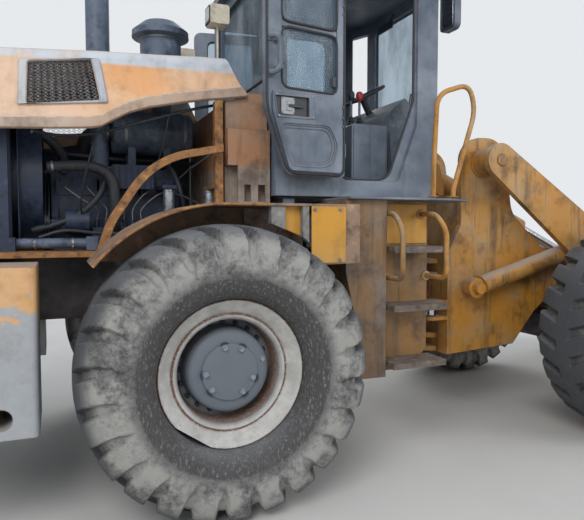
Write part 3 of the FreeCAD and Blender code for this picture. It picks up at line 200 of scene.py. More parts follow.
def blue_band(tree, place, colour):
    """The band follows the hood's top edge, which rises towards the cab."""
    axes = add(tree, "ShaderNodeSeparateXYZ", {0: place})
    line = sums(tree, "ADD", axes.outputs["Z"], sums(tree, "MULTIPLY", axes.outputs["X"], -0.02))
    line = sums(tree, "ADD", line, sums(tree, "MULTIPLY", noise(tree, place, 0.05), 0.012))
    wipe = between(tree, noise(tree, place, 0.3, 5, squeeze=(0.4, 1, 1)), 0.6, 0.7, 1, 0.35)
    edge = BAND_EDGE - 0.02 * (rear_axle - 1.12)
    share = sums(tree, "MULTIPLY", between(tree, line, edge - BAND_BLUR, edge + BAND_BLUR), wipe)
    return blended(tree, share, colour, tint("c2c8d0"))


def yellow_over_iron(tree, place, colour):
    """Yellow paint on the upper half, with a torn lower edge."""
    axes = add(tree, "ShaderNodeSeparateXYZ", {0: place})
    torn = sums(tree, "ADD", axes.outputs["Z"],
                between(tree, noise(tree, place, 0.16, 9, 0.7), 0.3, 0.7, -0.16, 0.16))
    share = between(tree, torn, IRON_LINE - 0.01, IRON_LINE + 0.015)
    iron = blended(tree, noise(tree, place, 0.05, 8, 0.8), tint("8b9096"), tint("b4b6b8"))
    return blended(tree, share, iron, colour)


def bare_below(tree, place, colour):
    """The bulkhead has lost its orange below the bay, down to a pinkish primer."""
    axes = add(tree, "ShaderNodeSeparateXYZ", {0: place})
    torn = sums(tree, "ADD", axes.outputs["Z"],
                sums(tree, "MULTIPLY", noise(tree, place, 0.08, 8, 0.7), 0.06))
    primer = blended(tree, noise(tree, place, 0.10, 8, 0.75), tint("7a6a61"), tint("b5a596"))
    return blended(tree, between(tree, torn, 2.02, 1.98), colour, primer)


def hood_patches(tree, place, colour):
    """One stretch of the side kept its deep orange."""
    spot = add(tree, "ShaderNodeMapping", {"Vector": place, "Location": (0.42 - rear_axle, 0, -2.50),
                                           "Scale": (1.0, 0, 1.0)}).outputs["Vector"]
    away = add(tree, "ShaderNodeVectorMath", {0: spot}, operation="LENGTH").outputs["Value"]
    cloud = noise(tree, place, 0.12, 8, 0.7)
    share = between(tree, sums(tree, "ADD", away, sums(tree, "MULTIPLY", cloud, 0.5)), 0.52, 0.34, 0, 0.75)
    return blue_band(tree, place, blended(tree, share, colour, tint("da9a5f")))


hood_orange = enamel("faded_orange_enamel", "dcb08a", "dab89c", dust="c2b5a6", wear=0.2, dirt=0.28,
                     streaks=0.18, gloss=0.5, overlay=hood_patches)
lip_paint = enamel("dusty_peach_enamel", "ab917d", "b8a391", dust="b0a599", wear=0.3, dirt=0.5, streaks=0.3,
                   gloss=0.6)
bulkhead_paint = enamel("bulkhead_enamel", "a97a56", "947a66", dust="a3968a", wear=0.5, dirt=0.7, streaks=0.7,
                        overlay=bare_below)
tank_paint = enamel("oil_soaked_yellow_enamel", "946c38", "74593f", stain="4b3f37", wear=0.6, dirt=1.0,
                    streaks=1.0)
slate = enamel("slate_enamel", "566170", "7a8592", dust="8f9193", stain="2c3038", wear=0.15, dirt=0.35,
               streaks=0.3, gloss=0.36)
loader_yellow = enamel("loader_yellow_enamel", "b9802f", "b08a55", stain="47382d", wear=0.55, dirt=0.75,
                       streaks=0.8)
clean_yellow = enamel("cover_yellow_enamel", "c78f2e", "bf9047", wear=0.35, dirt=0.25, streaks=0.25)
chassis = enamel("chassis_black_enamel", "2d2d33", "45434a", stain="3b3029", wear=0.35, dirt=0.7, streaks=0.5)
grille_paint = enamel("grey_blue_enamel", "a9b0ba", "b9b9ba", dust="b3a99c", wear=0.15, dirt=0.25,
                      streaks=0.3)
weight_paint = enamel("counterweight_enamel", "cf9a5c", "d4a779", wear=0.45, dirt=0.3, streaks=0.35,
                      overlay=yellow_over_iron)
print("paints", [m.name for m in bpy.data.materials if "enamel" in m.name])

# %% [markdown]
# ## Rust, iron and oil
# The bowed strips and the mudguard edges have lost their paint: mill steel that is brown with orange blooms.
# The engine is grey cast iron and pressed steel under years of oil and soot, dark and a little greasy. Its
# colour is also darkened and cooled to blue as painted shade, and the bay, the fan shroud, the heat shield and
# the bolts deep in the wheels share it.

# %%
def mottled(name, colours, size, rough, metal=0.0, relief=0.0008, squeeze=(1, 1, 1)):
    """A surface of three tones in blots of `size` metres, with matching roughness and relief."""
    finish, tree, shader, place = new_finish(name)
    dark, body, light = (tint(c) for c in colours)
    cloud = noise(tree, place, size, 8, 0.68, squeeze)
    colour = blended(tree, between(tree, cloud, 0.36, 0.5), dark, body)
    colour = blended(tree, between(tree, cloud, 0.54, 0.68), colour, light)
    grain = noise(tree, place, size * 0.12, 6, 0.7)
    rounded = add(tree, "ShaderNodeBevel", {"Radius": 0.004}, samples=4).outputs["Normal"]
    bump = add(tree, "ShaderNodeBump", {"Height": sums(tree, "ADD", cloud, grain), "Distance": relief,
                                        "Strength": 0.7, "Normal": rounded})
    tree.links.new(colour, shader.inputs["Base Color"])
    tree.links.new(between(tree, cloud, 0.3, 0.7, rough[0], rough[1]), shader.inputs["Roughness"])
    tree.links.new(bump.outputs["Normal"], shader.inputs["Normal"])
    shader.inputs["Metallic"].default_value = metal
    return finish


rusty = mottled("rusted_mill_steel", ("5b3f2e", "93683f", "c08d5b"), 0.05, (0.7, 0.9))
primer = mottled("worn_pink_primer", ("6b5850", "9a877c", "b9a99b"), 0.09, (0.7, 0.9))
brown_skirt = mottled("soiled_brown_steel", ("63503f", "8d7360", "b39478"), 0.10, (0.6, 0.9))
# painted shade: the engine iron is darker and bluer than oily iron, and this stands in for the cool shade of
# the bay
oily_iron_and_painted_shade = mottled("oily_engine_iron_painted_shade", ("141b2a", "232e44", "39465e"), 0.05, (0.35, 0.75))
drum_steel = mottled("sooty_steel_sheet", ("3b4453", "566173", "778396"), 0.10, (0.45, 0.7))
scoured = mottled("scoured_bucket_steel", ("4c4340", "7c7672", "a39d98"), 0.16, (0.35, 0.62), 0.75, 0.002,
                  (0.35, 1, 0.35))
grey_steel = mottled("weathered_grey_steel", ("5d5a58", "7f7c79", "9a9794"), 0.05, (0.5, 0.8))
chrome = mottled("hard_chrome", ("8d9095", "b9bcc0", "d0d3d6"), 0.02, (0.08, 0.2), 1.0, 0.0001)
hub_iron = mottled("hub_grey_iron", ("666d77", "828994", "9ba2aa"), 0.02, (0.45, 0.65), 0, 0.0005)
zinc = mottled("dull_zinc_plating", ("6d7074", "8b8e92", "a4a7aa"), 0.01, (0.4, 0.6), 0.9, 0.0002)
silver = mottled("rolled_aluminium_skin", ("8f979e", "b4bac0", "ced3d7"), 0.04, (0.25, 0.45), 0.8, 0.0002)
step_steel = mottled("muddy_step_steel", ("463d37", "685c53", "8b7f76"), 0.06, (0.6, 0.9))

# %% [markdown]
# ## Tyre rubber
# Natural rubber with carbon black bleaches to grey where sun and soil reach it. On the real tyre the shoulders
# carry pale dried mud with wiped patches, and the ring by the rim is darker and scored. Distance from the axle
# decides which of these a point gets, so the pattern follows the wheel. An occlusion node darkens the grooves
# and lug sides as painted shade.

# %%
def tyre_rubber(name, centre):
    finish, tree, shader, place = new_finish(name)
    own = add(tree, "ShaderNodeMapping", {"Vector": place, "Location": tuple(-centre)}).outputs["Vector"]
    axes = add(tree, "ShaderNodeSeparateXYZ", {0: own})
    flat = add(tree, "ShaderNodeCombineXYZ", {"X": axes.outputs["X"], "Z": axes.outputs["Z"]}).outputs[0]
    reach = add(tree, "ShaderNodeVectorMath", {0: flat}, operation="LENGTH").outputs["Value"]
    cloud = noise(tree, own, 0.20, 9, 0.66)
    fine = noise(tree, own, 0.028, 9, 0.78)
    colour = blended(tree, between(tree, fine, 0.3, 0.7), tint("3f3f41"), tint("6a6968"))
    shoulder = sums(tree, "MULTIPLY", between(tree, reach, 0.50, 0.60),
                    between(tree, reach, 0.77, 0.70, 0.25, 1.0))
    mud = sums(tree, "MULTIPLY", shoulder,
               between(tree, sums(tree, "ADD", cloud, sums(tree, "MULTIPLY", fine, 0.35)),
                                                   0.52, 0.76))
    colour = blended(tree, sums(tree, "MULTIPLY", mud, 0.75), colour, tint("a8a6a1"))
    inner = between(tree, sums(tree, "ADD", reach, sums(tree, "MULTIPLY", fine, 0.03)), 0.545, 0.53)
    scored = blended(tree, between(tree, noise(tree, own, 0.012, 6, 0.8, (1, 1, 0.35)), 0.52, 0.66),
                     tint("3e3d3e"), tint("8a8886"))
    colour = blended(tree, sums(tree, "MULTIPLY", inner, 0.8), colour, scored)
    crown = between(tree, reach, 0.735, 0.785)
    colour = blended(tree, sums(tree, "MULTIPLY", crown, 0.85), colour, tint("45484d"))
    upward = add(tree, "ShaderNodeSeparateXYZ",
                 {0: add(tree, "ShaderNodeNewGeometry").outputs["Normal"]}).outputs["Z"]
    dust = sums(tree, "MULTIPLY", between(tree, upward, 0.35, 0.95), between(tree, cloud, 0.3, 0.6, 0.1, 0.5))
    colour = blended(tree, dust, colour, tint("85868a"))
    # painted shade: an occlusion node darkens the grooves and lug sides towards near black
    groove_shade = add(tree, "ShaderNodeAmbientOcclusion", {"Distance": 0.09}, samples=4,
                 only_local=True).outputs["AO"]
    colour = blended(tree, between(tree, groove_shade, 0.75, 0.25), colour, tint("1c1c1f"))
    height = sums(tree, "ADD", sums(tree, "MULTIPLY", cloud, 0.6), fine)
    bump = add(tree, "ShaderNodeBump", {"Height": height, "Distance": 0.004, "Strength": 0.7})
    tree.links.new(colour, shader.inputs["Base Color"])
    tree.links.new(between(tree, cloud, 0.3, 0.7, 0.72, 0.92), shader.inputs["Roughness"])
    tree.links.new(bump.outputs["Normal"], shader.inputs["Normal"])
    return finish

# %% [markdown]
# ## Rim paint
# The rims were silver grey. Tyre levers and rust have eaten the flange's edge and the seat of the lock ring,
# so rust follows certain distances from the axle, broken up by noise. The deep ring between the hub cap and
# the barrel is darkened as painted shade.

# %%
RUSTY_RADII = ((0.400, 0.010), (0.318, 0.012), (0.280, 0.008))


def rim_paint(name, centre):
    finish, tree, shader, place = new_finish(name)
    own = add(tree, "ShaderNodeMapping", {"Vector": place, "Location": tuple(-centre)}).outputs["Vector"]
    axes = add(tree, "ShaderNodeSeparateXYZ", {0: own})
    flat = add(tree, "ShaderNodeCombineXYZ", {"X": axes.outputs["X"], "Z": axes.outputs["Z"]}).outputs[0]
    reach = add(tree, "ShaderNodeVectorMath", {0: flat}, operation="LENGTH").outputs["Value"]
    cloud = noise(tree, own, 0.11, 8, 0.7)
    fine = noise(tree, own, 0.016, 8, 0.75)
    colour = blended(tree, between(tree, cloud, 0.35, 0.65), tint("a3a19d"), tint("bfbdb9"))
    colour = blended(tree, between(tree, reach, 0.255, 0.24), colour,
                     blended(tree, cloud, tint("6b737e"), tint("8a919b")))
    # painted shade: the deep gap between the hub cap and the barrel is darkened
    colour = blended(tree, between(tree, reach, 0.31, 0.27, 0, 0.65), colour, tint("565b62"))
    ring = None
    for radius, width in RUSTY_RADII:
        away = sums(tree, "ABSOLUTE", sums(tree, "SUBTRACT", reach, radius))
        near = between(tree, away, width, width * 0.3)
        ring = near if ring is None else sums(tree, "MAXIMUM", ring, near)
    eaten = sums(tree, "MULTIPLY", ring, between(tree, fine, 0.38, 0.55))
    spots = between(tree, sums(tree, "ADD", cloud, sums(tree, "MULTIPLY", fine, 0.5)), 0.90, 0.98)
    rust = blended(tree, fine, tint("523226"), tint("96613c"))
    colour = blended(tree, sums(tree, "MAXIMUM", sums(tree, "MULTIPLY", eaten, 0.85), spots), colour, rust)
    bump = add(tree, "ShaderNodeBump", {"Height": sums(tree, "ADD", fine, eaten), "Distance": 0.0015,
                                        "Strength": 0.6})
    tree.links.new(colour, shader.inputs["Base Color"])
    tree.links.new(between(tree, cloud, 0.3, 0.7, 0.5, 0.75), shader.inputs["Roughness"])
    tree.links.new(bump.outputs["Normal"], shader.inputs["Normal"])
    return finish

# %% [markdown]
# ## Glass, plastic, vinyl and hose rubber
# The panes are float glass with dried rain on them: clear in the middle, milky in patches. Plastic, vinyl and
# hose rubber are dielectrics with a soft sheen, told apart by grain and gloss.

# %%
def dusty_glass():
    finish, tree, shader, place = new_finish("rain_marked_glass")
    film = between(tree, noise(tree, place, 0.25, 7, 0.7, (1, 1, 0.35)), 0.35, 0.72, 0.10, 0.42)
    clear = add(tree, "ShaderNodeBsdfTransparent", {"Color": tint("dfe8ee")}).outputs[0]
    shader.inputs["Base Color"].default_value = tint("a9b4bd")
    shader.inputs["IOR"].default_value = 1.52
    shader.inputs["Specular IOR Level"].default_value = 0.5
    shader.inputs["Roughness"].default_value = 0.12
    seen = add(tree, "ShaderNodeMixShader", {0: film, 1: clear, 2: shader.outputs[0]}).outputs[0]
    output = next(n for n in tree.nodes if n.type == "OUTPUT_MATERIAL")
    tree.links.new(seen, output.inputs["Surface"])
    return finish


glass = dusty_glass()
black_plastic = mottled("moulded_black_plastic", ("1f2125", "2b2d32", "3c3f45"), 0.03, (0.42, 0.6), 0, 0.0003)
grey_plastic = mottled("moulded_grey_plastic", ("4b515b", "5d6570", "767d86"), 0.08, (0.45, 0.65), 0, 0.0003)
vinyl = mottled("stitched_black_vinyl", ("1b1b1e", "27272b", "3b3a3d"), 0.012, (0.38, 0.55), 0, 0.0008)
hose_rubber = mottled("ribbed_hose_rubber", ("1c1d20", "2a2c31", "45474c"), 0.02, (0.5, 0.75), 0, 0.0006)
knob_red = mottled("moulded_red_knob", ("8e1f24", "b02a30", "c34a4c"), 0.01, (0.3, 0.4), 0, 0.0002)
lamp_white = mottled("aged_lamp_housing", ("a89f8c", "c4bba8", "d6cfc0"), 0.05, (0.4, 0.6), 0, 0.0003)

# %% [markdown]
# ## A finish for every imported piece
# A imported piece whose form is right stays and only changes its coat. Pieces that get a finer form further on
# are named there again.

# %%
COATS = [
    (chassis, ["front_axle", "rear_axle", "rear_frame", "transmission", "shaft_rear", "shaft_front",
               "rear_guard"]),
    (weight_paint, ["counterweight"]),
    (oily_iron_and_painted_shade, ["engine_block", "radiator", "cooling_fan"]),
    (rusty, ["bay_frame"]),
    (brown_skirt, ["rear_fenders"]),
    (hood_orange, ["hood"]),
    (bulkhead_paint, ["bulkhead"]),
    (tank_paint, ["side_tanks"]),
    (drum_steel, ["exhaust_stack", "air_cleaner", "engine_fittings"]),
    (slate, ["cab_shell", "cab_roof", "door_left", "door_right", "side_console", "cab_platform", "mirrors"]),
    (glass, ["cab_glass", "door_glass_left", "door_glass_right"]),
    (loader_yellow, ["front_frame", "boom", "rocker", "bucket_link", "hand_rails", "tower_pins"]),
    (step_steel, ["steps", "hood_grilles"]),
    (black_plastic, ["dash"]),
    (vinyl, ["seat"]),
    (lamp_white, ["lamps"]),
    (scoured, ["bucket", "bucket_edge"]),
    (loader_yellow, [n for n in nodes if n.endswith("_barrel")]),
    (chrome, [n for n in nodes if n.endswith("_rod")]),
]


def coat(node, finish):
    slots = nodes[node].data.materials
    slots.clear()
    slots.append(finish)


for finish, names in COATS:
    for name in names:
        coat(name, finish)
print("coated", sum(len(names) for finish, names in COATS), "of", len(nodes))

# %% [markdown]
# ## Three helpers for new pieces
# A piece is built from corners and faces in the machine's own frame, so its object can stay at the origin.
# `settle` gives it a finish, smooth shading up to a crease angle, and the body that it rides on.

# %%
CREASE = math.radians(35)


def settle(piece, finish, body, slot, *stands_for, crease=CREASE):
    if finish:
        piece.data.materials.clear()
        piece.data.materials.append(finish)
    piece.data.polygons.foreach_set("use_smooth", [True] * len(piece.data.polygons))
    piece.data.set_sharp_from_angle(angle=crease)
    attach(piece, body)
    if stands_for:
        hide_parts(*stands_for)
    return piece


def shape(name, corners, faces, finish=None):
    data = bpy.data.meshes.new(name)
    data.from_pydata([tuple(c) for c in corners], [], faces)
    if finish:
        data.materials.append(finish)
    piece = bpy.data.objects.new(name, data)
    bpy.context.scene.collection.objects.link(piece)
    return piece


def outwards(piece, merge=0.0):
    """Closes doubled corners and turns every face outwards."""
    form = bmesh.new()
    form.from_mesh(piece.data)
    if merge:
        bmesh.ops.remove_doubles(form, verts=form.verts, dist=merge)
    bmesh.ops.recalc_face_normals(form, faces=form.faces)
    form.to_mesh(piece.data)
    form.free()
    return piece

# %% [markdown]
# ## Copies around a circle
# Lugs, bolts and wheel nuts repeat around an axle. One Geometry Nodes tree takes a piece, turns copies of it
# about the Y axis, realizes them, welds the seams and gives them their material. `grown` runs the tree and
# keeps the result as a plain mesh.

# %%
def new_tree(name, numbers, geometry=True):
    """A geometry tree with its group input and output; numbers are named input sockets."""
    tree = bpy.data.node_groups.new(name, "GeometryNodeTree")
    tree.interface.new_socket("Geometry", in_out="OUTPUT", socket_type="NodeSocketGeometry")
    if geometry:
        tree.interface.new_socket("Geometry", in_out="INPUT", socket_type="NodeSocketGeometry")
    for label, kind in numbers:
        tree.interface.new_socket(label, in_out="INPUT", socket_type="NodeSocket" + kind)
    return tree, add(tree, "NodeGroupInput").outputs


def close_tree(tree, geometry, material):
    real = add(tree, "GeometryNodeRealizeInstances", {0: geometry}).outputs[0]
    painted = add(tree, "GeometryNodeSetMaterial", {"Geometry": real, "Material": material}).outputs[0]
    add(tree, "NodeGroupOutput", {0: painted})


def grown(seed, tree, values, name, move=(0, 0, 0)):
    """Runs a tree on a seed object and returns its result as a plain mesh object."""
    modifier = seed.modifiers.new("grow", "NODES")
    modifier.node_group = tree
    sockets = {s.name: s.identifier for s in tree.interface.items_tree if s.in_out == "INPUT"}
    for label, value in values.items():
        modifier[sockets[label]] = value
    seed.update_tag()
    view = bpy.context.evaluated_depsgraph_get()
    data = bpy.data.meshes.new_from_object(seed.evaluated_get(view), depsgraph=view)
    bpy.data.objects.remove(seed)
    data.name = name
    data.transform(Matrix.Translation(move))
    piece = bpy.data.objects.new(name, data)
    bpy.context.scene.collection.objects.link(piece)
    return piece


def ring_tree():
    tree, given = new_tree("copies_around_axle",
                           [("Count", "Int"), ("First turn", "Float"), ("Weld", "Float"),
                                                  ("Material", "Material")])
    points = add(tree, "GeometryNodePoints", {"Count": given["Count"]}).outputs[0]
    index = add(tree, "GeometryNodeInputIndex").outputs[0]
    step = sums(tree, "DIVIDE", math.tau, given["Count"])
    turn = sums(tree, "ADD", sums(tree, "MULTIPLY", index, step), given["First turn"])
    spin = add(tree, "ShaderNodeCombineXYZ", {"Y": turn}).outputs[0]
    copies = add(tree, "GeometryNodeInstanceOnPoints", {"Points": points, "Instance": given["Geometry"],
                                                        "Rotation": spin}).outputs[0]
    real = add(tree, "GeometryNodeRealizeInstances", {0: copies}).outputs[0]
    welded = add(tree, "GeometryNodeMergeByDistance", {0: real, "Distance": given["Weld"]}).outputs[0]
    close_tree(tree, welded, given["Material"])
    return tree


around_axle = ring_tree()

# %% [markdown]
# ## The tyres
# A loader tyre has deep bars that wrap over the shoulder. Here one pitch of the tread is a grid whose height
# follows a rule: between the outer profile, over the lugs, and the inner one, in the grooves. The tree then
# turns 24 such wedges into a tyre. That keeps the bars crisp and alike, and the mesh closed.

# %%
LUGS = 24
PITCH = math.tau / LUGS
SWEEP = 0.5 * PITCH
CARCASS = [(0.0, 0.762), (0.10, 0.753), (0.19, 0.728), (0.245, 0.698), (0.268, 0.660), (0.280, 0.620),
           (0.291, 0.580), (0.2965, 0.54), (0.283, 0.49), (0.262, 0.452), (0.232, 0.422), (0.205, 0.409),
           (0.186, 0.4035)]
OVER_LUGS = [(0.0, 0.7985), (0.10, 0.7955), (0.19, 0.784), (0.244, 0.766), (0.278, 0.712), (0.2965, 0.650),
             (0.2985, 0.59),
             (0.2965, 0.54)]
CENTRE_RIB = 0.045
BAR_SHARE = 0.60
BAR_WALL = 0.085


def smooth_line(points, count):
    """Points spread evenly along a rounded line through the given ones."""
    p = np.array([2 * np.array(points[0]) - np.array(points[1])] + [np.array(q) for q in points]
                 + [2 * np.array(points[-1]) - np.array(points[-2])])
    dense = []
    for a, b, c, e in zip(p, p[1:], p[2:], p[3:]):
        for t in np.linspace(0, 1, 16, endpoint=False):
            dense.append(0.5 * (2 * b + (c - a) * t + (2 * a - 5 * b + 4 * c - e) * t * t
                                + (3 * b - a - 3 * c + e) * t ** 3))
    dense.append(p[-2])
    dense = np.array(dense)
    run = np.concatenate([[0], np.cumsum(np.linalg.norm(np.diff(dense, axis=0), axis=1))])
    even = np.linspace(0, run[-1], count)
    return np.stack([np.interp(even, run, dense[:, i]) for i in range(dense.shape[1])], axis=1)


def eased(x, low, high):
    t = np.clip((x - low) / (high - low), 0, 1)
    return t * t * (3 - 2 * t)


def tread_pitch():
    """One wedge of the tyre, 1/24 of the way round, both halves of it."""
    rows_low = smooth_line(CARCASS, 54)
    top_line = smooth_line(OVER_LUGS, 200)
    rows = []
    for offset, radius in rows_low:
        # the lug's surface at the same distance out from the middle, until the two lines meet
        if radius > 0.545:
            away = np.hypot(top_line[:, 0] - offset, (top_line[:, 1] - radius))
            ray = np.array([offset, radius]) - np.array([0.0, 0.40])
            side = np.abs((top_line[:, 0]) * ray[1] - (top_line[:, 1] - 0.40) * ray[0]) / np.linalg.norm(ray)
            near = np.argmin(side + 0.02 * away)
            top = top_line[near]
        else:
            top = np.array([offset, radius])
        rows.append(((offset, radius), tuple(top)))
    columns = 20
    grid = []
    for side in (-1, 1):
        strip = rows[::-1] if side < 0 else rows[1:]
        for (offset, radius), (top_offset, top_radius) in strip:
            line = []
            lean = SWEEP * min(1.0, offset / 0.26)
            for k in range(columns + 1):
                angle = PITCH * k / columns
                phase = ((angle - lean) / PITCH + (0.5 if side > 0 else 0.0)) % 1.0
                # widths in shares of a pitch, with the groove's closed end low on the sidewall
                half = BAR_SHARE / 2 + 0.12 * eased(radius, 0.64, 0.57)
                bar = 1 - eased(abs(phase - 0.5), half, half + BAR_WALL)
                raised = max(bar, 1 - eased(offset, CENTRE_RIB, CENTRE_RIB + 0.02))
                r = radius + (top_radius - radius) * raised
                y = offset + (top_offset - offset) * raised
                line.append((r * math.sin(angle), side * y, r * math.cos(angle)))
            grid.append(line)
    corners = [corner for line in grid for corner in line]
    wide = columns + 1
    faces = [(i * wide + k, i * wide + k + 1, (i + 1) * wide + k + 1, (i + 1) * wide + k)
             for i in range(len(grid) - 1) for k in range(columns)]
    inner = [len(grid) - 1, 0]
    faces += [(inner[0] * wide + k, inner[0] * wide + k + 1, inner[1] * wide + k + 1, inner[1] * wide + k)
              for k in range(columns)]
    return corners, faces


WHEELS = ("front_left", "front_right", "rear_left", "rear_right")
pitch_corners, pitch_faces = tread_pitch()
for place in WHEELS:
    centre = middle("tyre_" + place)
    rubber = tyre_rubber("dusty_tyre_rubber_" + place, centre)
    seed = shape("pitch", pitch_corners, pitch_faces)
    values = {"Count": LUGS, "First turn": 0.0, "Weld": 0.0004, "Material": rubber}
    tyre = grown(seed, around_axle, values, "tyre_form_" + place, centre)
    outwards(tyre)
    settle(tyre, rubber, "wheel_" + place, "tyre_rubber", "tyre_" + place, crease=math.radians(40))
print("tyre triangles", sum(len(p.vertices) - 2 for p in tyre.data.polygons))

# %% [markdown]
# ## The rims
# A loader rim is rolled steel: a broad flange that holds the tyre, a loose lock ring in its groove, a barrel,
# and the disc that bolts to the planetary hub. All of it is round, so one outline is turned about the axle.
# The near rear rim was driven flat low down, and its flange still shows the chord.

# %%
RIM_OUTLINE = [
    (0.124, 0.0), (0.128, 0.05), (0.128, 0.148), (0.1265, 0.154), (0.114, 0.158), (0.1135, 0.168),
    (0.1075, 0.200),
    (0.102, 0.216), (0.090, 0.225), (0.040, 0.231), (-0.036, 0.236), (-0.042, 0.240), (-0.042, 0.262),
    (-0.034, 0.272),
    (-0.015, 0.278), (0.040, 0.282), (0.108, 0.285), (0.125, 0.290), (0.133, 0.299), (0.138, 0.306),
    (0.1365, 0.312),
    (0.128, 0.3155),
    (0.122, 0.318), (0.127, 0.323), (0.142, 0.338), (0.163, 0.360), (0.178, 0.380), (0.1865, 0.391),
    (0.188, 0.396),
    (0.1845, 0.3995), (0.174, 0.3985), (-0.174, 0.3985), (-0.178, 0.395), (-0.178, 0.366), (-0.10, 0.310),
    (-0.07, 0.262), (-0.07, 0.0)]
DENT_FROM, DENT_TO = math.radians(197), math.radians(232)


def turned(name, outline, centre, side, segments, dent=None):
    """An outline of (offset, radius) turned about the Y axis; it starts and ends on the axis."""
    corners, faces = [], []
    for offset, radius in outline[1:-1]:
        for k in range(segments):
            angle = math.tau * k / segments
            reach = radius
            if dent and radius > 0.35 and dent[0] < angle < dent[1]:
                half = (dent[1] - dent[0]) / 2
                chord = 0.4 * math.cos(half) / math.cos(angle - dent[0] - half)
                reach = min(radius, chord - (0.4 - radius) * 0.6)
            corners.append(centre + Vector((reach * math.sin(angle), side * offset, reach * math.cos(angle))))
    ends = len(corners)
    corners += [centre + Vector((0, side * outline[0][0], 0)), centre + Vector((0, side * outline[-1][0], 0))]
    rows = len(outline) - 2
    for i in range(rows - 1):
        for k in range(segments):
            m = (k + 1) % segments
            faces.append((i * segments + k, i * segments + m, (i + 1) * segments + m, (i + 1) * segments + k))
    for k in range(segments):
        m = (k + 1) % segments
        faces.append((ends, m, k))
        faces.append((ends + 1, (rows - 1) * segments + k, (rows - 1) * segments + m))
    return outwards(shape(name, corners, faces))


for place in WHEELS:
    centre = middle("tyre_" + place)
    side = 1 if centre.y > 0 else -1
    dent = (DENT_FROM, DENT_TO) if place == "rear_right" else None
    rim = turned("rim_form_" + place, RIM_OUTLINE, centre, side, 120, dent)
    settle(rim, rim_paint("dusty_rim_paint_" + place, centre), "wheel_" + place, "wheel_grey", "rim_" + place,
           crease=math.radians(50))
print("rim triangles", sum(len(p.vertices) - 2 for p in rim.data.polygons))

# %% [markdown]
# ## Bolts
# The hub cap is held by three pairs of bolts, each on a flat dark disc that paints the shade of its hollow in
# the casting, and the disc deep in the rim by twenty wheel nuts. A bolt head is a small hexagon with a chamfer
# on a washer. It is made once at the top of the ring, and the tree turns its copies. The plug on the drum is
# where its oil is filled in.

# %%
def bolt_form(across, height, washer, at):
    """Hexagon head whose axis is Y, its seat at `at`; a negative height points it the other way."""
    corners = []
    for radius, up, corner_step in ((washer, 0.0, 1), (washer, 0.15, 1), (across * 0.577, 0.15, 2),
                                    (across * 0.577, 0.85, 2), (across * 0.475, 1.0, 2)):
        for k in range(12):
            # a step of 2 lays two corners on one, and the weld below closes them to a hexagon
            angle = math.tau * (k // corner_step * corner_step) / 12
            corners.append((at[0] + radius * math.sin(angle), at[1] + up * height,
                            at[2] + radius * math.cos(angle)))
    faces = [(12 * i + k, 12 * i + (k + 1) % 12, 12 * i + 12 + (k + 1) % 12, 12 * i + 12 + k)
             for i in range(4) for k in range(12)]
    faces.append(tuple(range(48, 60)))
    return outwards(shape("bolt", corners, faces), 0.0002)


HUB_BOLTS = (math.radians(-12), math.radians(28))
FILL_PLUG = math.radians(75)
for place in WHEELS:
    centre = middle("tyre_" + place)
    side = 1 if centre.y > 0 else -1
    parts = []
    for turn in HUB_BOLTS:
        # the second seed is a thin, wide, dark disc under each bolt: painted shade for the casting's hollow
        for seed, finish in ((bolt_form(0.026, side * 0.014, 0.017, (0, side * 0.1275, 0.134)), hub_iron),
                             (bolt_form(0.010, side * 0.003, 0.031, (0, side * 0.1265, 0.137)), oily_iron_and_painted_shade)):
            values = {"Count": 3, "First turn": turn, "Weld": 0.0, "Material": finish}
            parts.append(grown(seed, around_axle, values, "bolts", centre))
    plug = bolt_form(0.022, side * 0.012, 0.020, (0, side * 0.1080, 0.195))
    values = {"Count": 1, "First turn": FILL_PLUG, "Weld": 0.0, "Material": hub_iron}
    parts.append(grown(plug, around_axle, values, "plug", centre))
    seed = bolt_form(0.024, side * 0.020, 0.0125, (0, side * -0.042, 0.2515))
    values = {"Count": 20, "First turn": 0.0, "Weld": 0.0, "Material": oily_iron_and_painted_shade}
    parts.append(grown(seed, around_axle, values, "nuts", centre))
    bpy.ops.object.select_all(action="DESELECT")
    for part in parts:
        part.select_set(True)
    bpy.context.view_layer.objects.active = parts[0]
    bpy.ops.object.join()
    parts[0].name = "wheel_bolts_" + place
    settle(parts[0], None, "wheel_" + place, "wheel_grey")
print("bolts and nuts a wheel", 3 * len(HUB_BOLTS) + 20)
# %% [markdown]
# ## Tubes and plates
# Most loose parts of a machine are either a tube that follows a line or a plate cut to an outline. `swept`
# carries a circle along a line without letting it twist. `panel` raises an outline and bevels its upper edge,
# because a pressed or cut plate never has a knife edge.

# %%
def swept(name, line, radius, sides=14, closed=False):
    """A tube along points. The radius is a number, or one for each point."""
    line = [Vector(p) for p in line]
    count = len(line)
    radii = radius if hasattr(radius, "__len__") else [radius] * count
    across = (line[1] - line[0]).orthogonal().normalized()
    corners = []
    for k, (spot, reach) in enumerate(zip(line, radii)):
        before = line[k - 1] if k or closed else spot
        after = line[(k + 1) % count] if k < count - 1 or closed else spot
        run = (after - before).normalized()
        across = (across - run * across.dot(run)).normalized()
        up = run.cross(across)
        for turn in range(sides):
            angle = math.tau * turn / sides
            corners.append(spot + reach * (across * math.cos(angle) + up * math.sin(angle)))
    rings = [[k * sides + turn for turn in range(sides)] for k in range(count)]
    pairs = list(zip(rings, rings[1:]))
    faces = [] if closed else [rings[0], rings[-1]]
    if closed:
        # the frame may come back turned a little, so the last ring joins the nearest corners
        shift = min(range(sides), key=lambda s: (corners[rings[-1][0]] - corners[rings[0][s]]).length)
        pairs.append((rings[-1], rings[0][shift:] + rings[0][:shift]))
    for low, high in pairs:
        faces += [(low[t], low[(t + 1) % sides], high[(t + 1) % sides], high[t]) for t in range(sides)]
    return outwards(shape(name, corners, faces))


def flowing(points, spacing=0.02):
    """A rounded line through points, with points about `spacing` apart."""
    points = [tuple(p) for p in points]
    length = sum(math.dist(a, b) for a, b in zip(points, points[1:]))
    return smooth_line(points, max(4, round(length / spacing) + 1))


